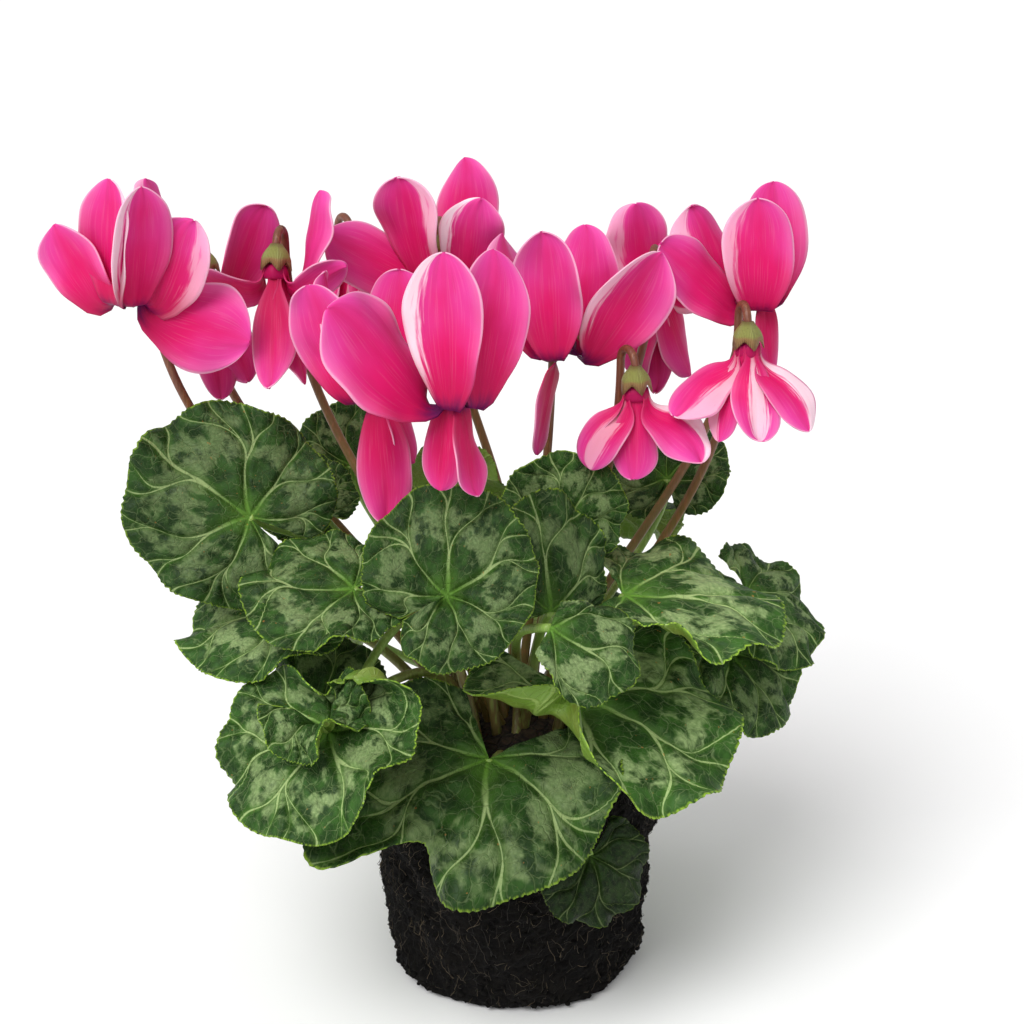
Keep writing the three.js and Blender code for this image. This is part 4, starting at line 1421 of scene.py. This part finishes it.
@dataclass(frozen=True)
class UpperFace:
    """Upper side of a blade: dark green, marbled silver between pale veins."""

    deep: str = "1A3410"
    mid: str = "31541F"
    silver: str = "8DA26C"
    vein: str = "A3B87A"
    heart: str = "5C8630"
    margin: str = "8DAF38"
    scratch: str = "A8733A"

    def material(self) -> Material:
        """Makes the finish.

        The vein net is the one of the mesh. Silver fills a ring of the blade, feathered by noise
        drawn out along the rays, and stays clear of the veins.

        Returns:
            The material.
        """
        paint = Paint("leaf upper face", roughness=0.42, specular_ior_level=0.14)
        seed, silver, light = paint.tone()
        x, y, share = paint.blade()
        theta = y.math("ARCTAN2", x)
        flat = paint.join(x, y, seed)
        bend = paint.noise(flat, 5.0, 3.0) - 0.5
        warp = paint.noise(flat, 13.0, 2.0) - 0.5
        away = abs(VEINS.distance(theta, share, seed) + bend * 0.03)
        width = VEINS.width(share)
        grain = paint.noise(flat, 9.0, 5.0)
        fine = paint.noise(flat, 38.0, 4.0)
        feather = paint.noise(paint.join(theta * 4.0, share * 3.2, seed), 2.0, 5.0)
        blotch = paint.noise(flat, 2.7, 2.0)
        woven = paint.join(x + warp * 0.12, y + bend * 0.16, seed)
        net = 1.0 - ramp(paint.cells(woven, 9.0), 0.0, 0.055)
        lace = 1.0 - ramp(paint.cells(woven, 26.0), 0.0, 0.09)
        reach = share + (feather - 0.5) * 0.5 + (blotch - 0.5) * 0.7
        band = ramp(reach, 0.47, 0.56) * (1.0 - ramp(reach, 0.74, 0.83)) * ramp(grain + blotch, 0.8, 0.98)
        marble = band * ramp(away, 0.004, 0.022) * silver
        line = 1.0 - ramp(away, width * 0.35, width * 1.1)
        glow = 1.0 - ramp(away, width, width * 5.0)
        young = paint.mix(ramp(share, 0.08, 0.45), self.heart, self.vein)
        beads = paint.noise(paint.join(theta * 30.0, seed, 0.0), 2.0, 1.0)
        rim = ramp(paint.edge(), 0.982, 0.998)
        colour = paint.layers(
            self.deep,
            (ramp(grain, 0.35, 0.68), self.mid),
            (net * 0.24 + lace * 0.08, self.silver),
            (marble * (0.62 + (fine - 0.5) * 1.3), self.silver),
            ((1.0 - ramp(share, 0.03, 0.3)) * 0.35, self.heart),
            (glow * 0.22, self.heart),
            (line * (0.95 - share * 0.3), young),
            (ramp(paint.noise(flat, 31.0, 1.0), 0.76, 0.79) * 0.5, self.scratch),
            (rim * ramp(beads, 0.34, 0.6) * 0.9, self.margin),
        )
        # Painted light and shade: the leaf's light darkens or brightens its colours for how lit it stands;
        # the blotch varies them at random.
        colour = paint.shade(colour, light * (0.95 + (blotch - 0.5) * 0.5))
        relief = ramp(away, 0.0, 0.05) * 0.7 + (1.0 - net) * 0.35 + (1.0 - lace) * 0.12 + fine * 0.2
        return paint.finish(colour, relief, 0.75, 0.38 + grain * 0.2)


@dataclass(frozen=True)
class UnderFace:
    """Under side of a blade: lime, with raised veins and a faint red tint."""

    lime: str = "6F9230"
    pale: str = "95B058"
    tint: str = "8A6A3C"

    def material(self) -> Material:
        """Makes the finish, with the vein net standing proud.

        Returns:
            The material.
        """
        paint = Paint("leaf under face", roughness=0.5)
        seed, _, _ = paint.tone()
        x, y, share = paint.blade()
        away = VEINS.distance(y.math("ARCTAN2", x), share, seed)
        width = VEINS.width(share)
        flat = paint.join(x, y, seed)
        net = 1.0 - ramp(paint.cells(flat, 15.0), 0.0, 0.12)
        blotch = paint.noise(flat, 3.0, 4.0)
        line = 1.0 - ramp(away, width * 0.5, width * 1.6)
        tinted = ramp(blotch, 0.45, 0.75) * 0.35
        colour = paint.layers(self.lime, (tinted, self.tint), (net * 0.2 + line * 0.6, self.pale))
        return paint.finish(colour, line * 0.8 + net * 0.3, 0.6)


@dataclass(frozen=True)
class StalkSkin:
    """Skin of petioles and stems: one colour low, another high, with fine streaks."""

    name: str
    low: str
    high: str
    streak: str

    def material(self) -> Material:
        """Makes the finish from the share of the way up, and streaks drawn out along it.

        Returns:
            The material.
        """
        paint = Paint(self.name, roughness=0.45)
        _, v, _ = paint.split(paint.uv())
        x, y, z = paint.split(paint.place())
        blend = paint.noise(paint.join(x, y, z * 0.5), 60.0, 3.0)
        streak = paint.noise(paint.join(x, y, z * 0.12), 900.0, 2.0)
        up = ramp(v + (blend - 0.5) * 0.6, 0.15, 0.7)
        colour = paint.layers(self.low, (up, self.high), (ramp(streak, 0.5, 0.68) * 0.5, self.streak))
        return paint.finish(colour, streak, 0.35)


@dataclass(frozen=True)
class CalyxSkin:
    """Skin of the sepals: olive, with brown veins and reddish edges."""

    olive: str = "85883F"
    brown: str = "5E3F2A"
    edge: str = "8C3A3C"

    def material(self) -> Material:
        """Makes the finish: u runs across a sepal, v from the inside over the points to the stem.

        Returns:
            The material.
        """
        paint = Paint("calyx skin", roughness=0.5)
        u, v, _ = paint.split(paint.uv())
        veins = abs(sine(u * math.pi * 10.0))
        speck = paint.noise(paint.place(), 1500.0, 3.0)
        colour = paint.layers(
            self.olive,
            ((1.0 - ramp(veins, 0.0, 0.45)) * 0.5, self.brown),
            (ramp(speck, 0.55, 0.7) * 0.4, self.brown),
            (ramp(v, 0.8, 1.0) * 0.6, self.brown),
            (ramp(abs(v - 0.42), 0.14, 0.05) * 0.5, self.edge),
        )
        return paint.finish(colour, veins * 0.5, 0.5)


@dataclass(frozen=True)
class PetalSkin:
    """Petals: hot pink, magenta to the margins, crimson at the throat, with pale feathered stripes; painted
    light and a painted highlight pale the margins.
    """

    pink: str = "D41463"
    magenta: str = "E046A0"
    crimson: str = "A80B3E"
    throat: str = "5A0F4A"
    pale: str = "F3B9D2"
    white: str = "F8E4EC"

    def material(self) -> Material:
        """Makes the finish: u runs across the petal, v along it from the throat.

        Returns:
            The material.
        """
        paint = Paint("petal skin", roughness=0.5, specular_ior_level=0.12,
                      subsurface_weight=0.15, subsurface_radius=(0.004, 0.0012, 0.0015))
        place, strength, depth = paint.tone()
        u, v, _ = paint.split(paint.uv())
        across = (u - 0.5) * 2.0
        side = abs(across)
        streak = paint.noise(paint.join(across * 2.0, v * 1.4, depth), 2.0, 1.5)
        hair = paint.noise(paint.join(across * 14.0, v * 1.6, depth), 2.0, 1.0)
        cloud = paint.noise(paint.place(), 42.0, 2.0)
        feather = paint.noise(paint.join(across * 5.0, v * 2.2, place), 2.0, 5.0)
        outward = side * 0.42 + v * 0.95 + (cloud - 0.5) * 0.7
        off = abs(across - place) + (feather - 0.5) * 0.8 + (1.0 - v) * 0.3 - 0.06
        grown = ramp(v + (feather - 0.5) * 0.3, 0.16, 0.4) * strength
        colour = paint.layers(
            self.pink,
            (ramp(outward, 0.5, 1.35), self.magenta),
            (depth * (0.9 - v * 0.5), self.crimson),
            (ramp(streak, 0.5, 0.8) * 0.2, self.crimson),
            # Fine pale hairlines, and the outer sides paler towards the tip: partly the petal's own lighter
            # edge, partly painted light that offsets the shade of the bowed-back edges.
            (ramp(hair, 0.46, 0.3) * 0.05 + ramp(side, 0.6, 1.0) * v * 0.2, self.pale),
            (ramp(off, 0.50, 0.34) * grown * 0.75, self.pale),
            (ramp(off, 0.40, 0.26) * grown * 0.85, self.white),
            # A thin pale rim along the upper margin: the petal's own pale edge with a painted highlight laid
            # over it.
            (ramp(side, 0.93, 0.99) * ramp(v, 0.4, 0.65) * 0.65, self.pale),
            (ramp(v, 0.55, 0.2) * 0.65, self.crimson),
            (ramp(v + (streak - 0.5) * 0.12, 0.29, 0.15), self.throat),
        )
        return paint.finish(colour, streak + hair * 0.05, 0.15)


@dataclass(frozen=True)
class Compost:
    """Moist peat compost, nearly black."""

    dark: str = "040303"
    brown: str = "110E0B"
    fleck: str = "31281D"

    def material(self) -> Material:
        """Makes the finish from grain and flecks of several sizes.

        Returns:
            The material.
        """
        paint = Paint("compost", roughness=0.95, specular_ior_level=0.2)
        place = paint.place()
        grain = paint.noise(place, 420.0, 8.0)
        broad = paint.noise(place, 60.0, 3.0)
        crumbs = paint.cells(place, 700.0, "F1")
        strand = paint.noise(place, 1300.0, 3.0, 3.0)
        lit = ramp(grain + (broad - 0.5) * 0.6, 0.38, 0.68)
        colour = paint.layers(self.dark, (lit, self.brown), (ramp(strand, 0.60, 0.70) * 0.45, self.fleck))
        return paint.finish(colour, grain * 1.4 + crumbs * 0.8 + strand, 0.9)


@dataclass(frozen=True)
class FineRoots:
    """Fine roots, from dull brown to tan."""

    brown: str = "14110D"
    tan: str = "6B5D48"

    def material(self) -> Material:
        """Makes the finish, with each root's own shade from its tone.

        Returns:
            The material.
        """
        paint = Paint("fine roots", roughness=0.8)
        pick, _, _ = paint.tone()
        speck = paint.noise(paint.place(), 400.0, 2.0)
        colour = paint.mix(pick**2.6 * 0.95 + (speck - 0.5) * 0.3, self.brown, self.tan)
        return paint.finish(colour)


@dataclass(frozen=True)
class Cork:
    """Corky brown skin of the tuber."""

    dark: str = "1C140E"
    light: str = "3F3023"

    def material(self) -> Material:
        """Makes the finish from cracked noise.

        Returns:
            The material.
        """
        paint = Paint("cork", roughness=0.9)
        place = paint.place()
        grain = paint.noise(place, 300.0, 6.0)
        colour = paint.mix(ramp(grain, 0.35, 0.65), self.dark, self.light)
        solid = ramp(paint.cells(place, 160.0), 0.0, 0.12)
        colour = paint.shade(colour, solid * 0.5 + 0.5)
        return paint.finish(colour, grain + solid, 0.8)


# Leaves and flowers, set against the photograph and by how the plant grows behind. Leaf, Curl,
# Flower and Petal say what the numbers are, in the order of their fields.
# Each leaf's light is painted light and shade: below 1 for leaves in shade, above 1 for lit ones.
LEAVES = (
    Leaf("front", Ring.LOW, (-10, -41, 106), -96, 20, 0, 64,
         dents=((-29, 12, 0.3), (24, 48, 0.08), (-52, 14, -0.32), (64, 9, 0.06), (-160, 16, 0.16)),
         broad=1.02, dish=4, cup=-8, wave=17, phase=0.9, droop=50, droop_from=0.28, sinus=40, skew=-18,
         curls=(Curl(150, 24, 30, 0.5), Curl(-150, 24, 70, 0.55), Curl(-42, 20, 30, 0.62)), arrive=-50,
         silver=0.7, light=0.85),
    Leaf("right", Ring.LOW, (23, -24, 123), -64, 22, 34, 62, dents=((-80, 26, 0.3),), broad=1.02,
         wave=9, waves=4, phase=1.2, droop=14, sinus=40, skew=-35, curls=(Curl(-88, 30, 190, 0.36),),
         via=(34, -19, 121), silver=1.0, light=1.35),
    Leaf("curled", Ring.LOW, (-68, -58, 126), -118, 34, -6, 43,
         dents=((-145, 26, 0.25), (150, 34, -0.35)), skew=14, spiral=5, broad=1.12, cup=-14, wave=18,
         phase=2, droop=20, sinus=4,
         curls=(Curl(-142, 34, 108, 0.12), Curl(158, 34, 205, 0.42), Curl(80, 40, 24, 0.3)), arrive=75,
         via=(-43, -20, 152), over=250, silver=0.85, light=1.25),
    Leaf("small_right", Ring.INNER, (12, -62, 168), -70, 52, 52, 35,
         dents=((92, 36, 0.5), (-92, 36, 0.5)), broad=0.84, dish=4, cup=-18, waves=4, phase=0.3,
         droop=10, sinus=86, via=(0, -17, 141), silver=1.0, light=1.1),
    Leaf("centre", Ring.INNER, (-25, -52, 176), -86, 60, 170, 39, skew=-52, dish=14, cup=-14, waves=4,
         phase=2.6, spiral=-11, sinus=3, via=(-20, -22, 152), silver=0.7, light=0.9),
    Leaf("mid_left", Ring.LOW, (-59, -38, 173), -100, 30, -80, 40, broad=0.78, dish=10, cup=-16,
         phase=1, droop=8, sinus=16, via=(-42, -12, 150), silver=0.8, light=1.05),
    Leaf("low_left", Ring.LOW, (-85, -12, 153), -125, 24, -46, 42, broad=0.95, dish=16, cup=-24,
         wave=14, phase=0.2, droop=10, via=(-61, 2, 137), silver=1.0, light=1.25),
    Leaf("mid_right", Ring.MID, (41, -8, 158), -50, 8, 44, 60, broad=0.84, cup=-12, wave=10, phase=2.2,
         droop=14, sinus=60, curls=(Curl(-80, 30, 50, 0.5),), via=(26, -2, 132), silver=1.0, light=1.45),
    Leaf("grey", Ring.CORE, (13, -22, 157), -66, 72, 176, 44, broad=0.62, cup=-20, wave=10, waves=4,
         phase=0.8, sinus=78, silver=0.6, light=0.9),
    Leaf("back_mid", Ring.CORE, (19, 8, 181), -88, 84, -165, 27, broad=1.12, dish=6, cup=-12, wave=10,
         phase=1.8, sinus=16, via=(12, 16, 142), silver=0.8, light=1.3),
    Leaf("tall_left", Ring.MID, (-99, -12, 191), -84, 68, 236, 47, broad=0.98, dish=6, cup=-12, wave=9,
         phase=0.5, via=(-60, 6, 168), silver=0.6, light=0.82),
    Leaf("left_back", Ring.MID, (-67, 64, 185), -84, 66, 186, 25, broad=1.1, dish=6, cup=-12, wave=10,
         waves=4, phase=0.5, sinus=16, via=(-38, 40, 142), silver=0.8, light=1.1),
    Leaf("left_small", Ring.MID, (-79, 31, 179), -98, 46, 236, 24, dish=10, cup=-18, waves=4,
         phase=1.5, silver=0.9, light=1.15),
    Leaf("right_back", Ring.LOW, (61, 56, 182), -96, 62, 186, 25, broad=1.25, dish=6, cup=-12, wave=10,
         waves=4, phase=2.5, via=(40, 48, 138), silver=0.8, light=1.0),
    Leaf("far_right", Ring.MID, (92, 30, 143), -40, 36, 10, 36, broad=0.95, dish=10, cup=-18, wave=10,
         phase=0.9, droop=16, sinus=14, via=(60, 22, 134), silver=0.9, light=1.1),
    Leaf("low_right", Ring.LOW, (86, 22, 120), -50, 44, 4, 34, broad=0.95, dish=10, cup=-18, wave=10,
         phase=2.9, droop=20, sinus=14, silver=0.7, light=1.1),
    # under_front stands in the shade under the front leaf: its low light and silver paint that shade into its
    # colours.
    Leaf("under_front", Ring.LOW, (27, -68, 80), -66, 66, 8, 25, broad=1.1, dish=2, cup=-8, wave=6,
         waves=4, phase=0.9, droop=10, sinus=50, arrive=70, via=(20, -50, 101.6),
         silver=0.15, light=0.32),
    Leaf("inner_left", Ring.LOW, (-72, -36, 125), -100, 48, 176, 27, via=(-46, -15, 126), broad=1.1,
         cup=-16, wave=10, waves=4, phase=0.1, silver=0.8, light=0.9),
    Leaf("lime", Ring.MID, (-30, 40, 179), 92, 62, 180, 30, broad=1.1, dish=6, wave=10, waves=4,
         phase=0.6, sinus=14, via=(-20, 32, 140)),
    Leaf("rear_right", Ring.LOW, (64, 56, 116), 40, 34, 6, 46, cup=-14, wave=13, phase=0.7, droop=26,
         sinus=40, lift=0.35),
    Leaf("rear", Ring.LOW, (-2, 76, 124), 92, 36, -4, 46, cup=-14, wave=13, phase=2.1, droop=24,
         sinus=36, lift=0.35),
    Leaf("rear_left", Ring.LOW, (-62, 56, 114), 142, 34, 4, 46, broad=1.02, cup=-14, wave=13,
         phase=1.1, droop=26, sinus=40, lift=0.35),
    Leaf("rear_high", Ring.LOW, (38, 80, 166), 62, 40, 8, 38, broad=1.04, cup=-14, wave=13, phase=1.6,
         droop=16, via=(24, 50, 136)),
)

FLOWERS = (
    Flower("01", Ring.CORE, (-21, -48, 248), -90, 8, (-26, -14, 176), (
        Petal(205, 46, -58, 57, 35),
        Petal(-100, 82, -12, 60, 26, stripe=(-1.0, 0.9), depth=0.15),
        Petal(-38, 84, -38, 60, 24),
        Petal(215, -84, -30, 30, 14, depth=0.7),
        Petal(-50, -74, -25, 32, 18, depth=0.7),
    )),
    Flower("02", Ring.CORE, (-50, -6, 238), -60, 5, (-32, 10, 170), (
        Petal(206, 72, 40, 52, 26),
        Petal(166, 80, 25, 52, 24, depth=0.15),
        Petal(66, 76, 0, 50, 26),
        Petal(-95, -84, 8, 46, 19, depth=0.7),
        Petal(14, -72, 40, 28, 15, depth=0.7),
    )),
    Flower("03", Ring.INNER, (18, 26, 244), -75, 10, (10, 36, 172), (
        Petal(152, 74, -10, 54, 30, stripe=(0.9, 0.2)),
        Petal(-112, 82, 16, 54, 24, depth=0.15),
        Petal(54, 82, 8, 54, 25),
        Petal(-15, 54, -66, 54, 27, stripe=(-1.0, 0.5), depth=0.15),
        Petal(212, -74, 60, 38, 22, depth=0.7),
    )),
    Flower("04", Ring.INNER, (45, 10, 229), -66, 6, (30, 34, 170), (
        Petal(205, -30, -32, 27, 17, -40, stripe=(0, 0.3)),
        Petal(-105, -62, -12, 27, 16, -18, depth=0.15),
        Petal(-30, -12, 32, 30, 19, -50, stripe=(0.8, 0.8)),
        Petal(58, -20, 0, 28, 16, -40, depth=0.15),
        Petal(170, -35, 0, 25, 13, -40, stripe=(0.4, 0.4)),
    )),
    Flower("05", Ring.MID, (93, 38, 260), -80, 10, (58, 44, 176), (
        Petal(196, 42, -60, 46, 26),
        Petal(156, 66, -20, 48, 28, stripe=(0.9, 0.4), depth=0.15),
        Petal(-98, 80, -6, 48, 25, stripe=(-1.0, 0.3)),
        Petal(58, 86, 0, 52, 24, depth=0.15),
        Petal(-60, -80, 0, 26, 12, depth=0.7),
    )),
    Flower("06", Ring.MID, (86, 10, 246), -80, 6, (62, 36, 170), (
        Petal(195, -8, -38, 31, 19, -48, stripe=(0.6, 0.4)),
        Petal(-142, -58, -22, 30, 12, -22, stripe=(-0.6, 0.4), depth=0.15),
        Petal(-76, -58, 0, 29, 17, -20, stripe=(0.1, 0.6)),
        Petal(-24, -26, 36, 32, 16, -42, stripe=(0.6, 0.8), depth=0.15),
        Petal(52, -25, 0, 30, 16, -40),
    )),
    Flower("07", Ring.LOW, (-141, 4, 271), -110, 8, (-97, 17, 188), (
        Petal(192, 60, 60, 38, 25),
        Petal(-115, 86, -20, 50, 24, stripe=(1.0, 0.9), depth=0.15),
        Petal(-70, 77, 18, 50, 24, stripe=(-1.0, 0.7)),
        Petal(-14, 66, -66, 40, 25, stripe=(0.9, 0.3), depth=0.15),
        Petal(0, -14, 80, 42, 31),
    )),
    Flower("08", Ring.LOW, (-119, 44, 265), -60, 8, (-86, 50, 182), (
        Petal(166, 78, 0, 50, 26, stripe=(0.9, 0.3)),
        Petal(24, 62, -66, 40, 24, depth=0.15),
        Petal(-40, -66, 30, 38, 15, depth=0.7),
        Petal(-75, -78, 0, 42, 14, depth=0.7),
        Petal(205, 40, 40, 30, 16),
    )),
    Flower("09", Ring.INNER, (-90, 24, 272), -100, 14, (-54, 19, 186), (
        Petal(28, 80, -12, 42, 26),
        Petal(-14, 30, -50, 26, 14, depth=0.15),
        Petal(180, 18, 40, 28, 19),
        Petal(-88, -72, 16, 40, 15, depth=0.7),
        Petal(-28, -72, 6, 38, 13, depth=0.7),
    )),
    Flower("10", Ring.INNER, (-28, 56, 268), -80, 10, (-10, 60, 188), (
        Petal(190, 30, -60, 46, 24),
        Petal(-135, 74, 0, 46, 27, stripe=(0.9, 0.4), depth=0.15),
        Petal(54, 84, 0, 50, 25),
        Petal(-35, 74, -40, 36, 24, stripe=(-1.0, 1.0), depth=0.15),
        Petal(-80, -80, 0, 30, 14, depth=0.7),
    )),
    Flower("11", Ring.LOW, (-65, 80, 264), -60, 6, (-44, 72, 184), (
        Petal(186, -68, 28, 22, 15, -10, stripe=(0, 0.6)),
        Petal(-120, -66, 20, 22, 15, -14, stripe=(0.4, 0.7), depth=0.15),
        Petal(-50, -50, 20, 22, 16, -14, stripe=(0, 0.6)),
        Petal(0, -30, 28, 27, 16, -30, stripe=(0.5, 0.8), depth=0.15),
        Petal(54, -66, 28, 24, 15, -10),
    )),
    Flower("12", Ring.INNER, (55, 62, 260), 80, 14, (30, 46, 186), (
        Petal(110, 74, 0, 36, 24, stripe=(0.9, 0.3)),
        Petal(-15, 18, -60, 26, 15, stripe=(0.9, 0.4), depth=0.15),
        Petal(-150, -76, 0, 38, 15, depth=0.7),
        Petal(-95, -84, 0, 42, 12, depth=0.7),
        Petal(-40, -66, 0, 36, 17, depth=0.7),
    )),
)


@dataclass(frozen=True)
class Studio:
    """Pale floor, soft light and the camera of the photograph, in metres and degrees."""

    camera_place: tuple[float, float, float] = (-0.0015, -0.7417, 0.4643)
    pitch: float = 69.6
    lens: float = 73.83
    sensor: float = 36.0
    clip: tuple[float, float] = (0.01, 50.0)
    floor_size: float = 40.0
    floor_shade: float = 0.97
    sky: float = 0.6
    sun_aim: tuple[float, float, float] = (38.0, 0.0, -35.0)
    sun_power: float = 1.95
    sun_spread: float = 42.0
    key_place: tuple[float, float, float] = (-0.7, -0.9, 1.3)
    key_aim: tuple[float, float, float] = (0.0, 0.0, 0.18)
    key_size: float = 0.8
    key_power: float = 5.0

    def floor(self) -> Object:
        """Makes the floor the plant stands on, one square.

        Returns:
            The floor.
        """
        half = self.floor_size / 2
        corners = [(-half, -half, 0), (half, -half, 0), (half, half, 0), (-half, half, 0)]
        mesh = bpy.data.meshes.new("floor")
        mesh.from_pydata(corners, [], [(0, 1, 2, 3)])
        shade = (*[self.floor_shade] * 3, 1)
        mesh.materials.append(Paint("floor", roughness=0.9, base_color=shade).material)
        return add_object("floor", mesh)

    def key(self) -> Object:
        """Makes a square area lamp that faces the middle of the plant.

        Returns:
            The lamp.
        """
        light = bpy.data.lights.new("key", "AREA")
        light.size, light.energy = self.key_size, self.key_power
        made = add_object("key", light)
        made.location = self.key_place
        aim = Vector(self.key_aim) - Vector(self.key_place)
        made.rotation_euler = aim.to_track_quat("-Z", "Y").to_euler()
        return made

    def sun(self) -> Object:
        """Makes the broad sun that lights plant and floor evenly from the upper left front.

        Returns:
            The sun.
        """
        light = bpy.data.lights.new("sun", "SUN")
        light.energy, light.angle = self.sun_power, math.radians(self.sun_spread)
        made = add_object("sun", light)
        made.rotation_euler = [math.radians(a) for a in self.sun_aim]
        return made

    def build(self) -> None:
        """Makes floor, lamps, sky and camera."""
        key = self.key()
        self.floor()
        self.sun()
        world = bpy.data.worlds.new("sky")
        world.use_nodes = True
        backdrop = world.node_tree.nodes["Background"].inputs
        backdrop["Color"].default_value = (1, 1, 1, 1)
        backdrop["Strength"].default_value = self.sky
        scene = bpy.context.scene
        scene.world = world
        camera = add_object("camera", bpy.data.cameras.new("camera"))
        camera.location = self.camera_place
        camera.rotation_euler = (math.radians(self.pitch), 0, 0)
        camera.data.lens, camera.data.sensor_width = self.lens, self.sensor
        camera.data.clip_start, camera.data.clip_end = self.clip
        scene.camera = camera
        scene.view_settings.view_transform = "Standard"


def main() -> None:
    """Builds every piece of the plant, then the studio."""
    logging.basicConfig(level=logging.INFO, format="%(message)s")
    install(RootBall().build([Compost().material(), FineRoots().material()]), ["root_ball"])
    install(Tuber().build(Cork().material()), ["tuber"])
    rows = [*LEAVES, *FLOWERS]
    angles = socket_angles(rows)
    petiole = StalkSkin("petiole skin", "7A6A3C", "76963F", "9CB45C").material()
    blade = [UpperFace().material(), UnderFace().material(), petiole]
    stalk = [StalkSkin("stem skin", "76652F", "6E3C2A", "94603C").material(), CalyxSkin().material()]
    petal = PetalSkin().material()
    for k, (row, angle) in enumerate(zip(rows, angles)):
        if isinstance(row, Leaf):
            install(row.build(angle, SEED_STEP * (k + 1), blade), [f"leaf_{row.name}"])
        else:
            install(row.stalk(angle, stalk), [f"stem_{row.name}"])
            install(row.bloom([petal]), [f"flower_{row.name}"])
    Studio().build()


if __name__ == "__main__":
    main()
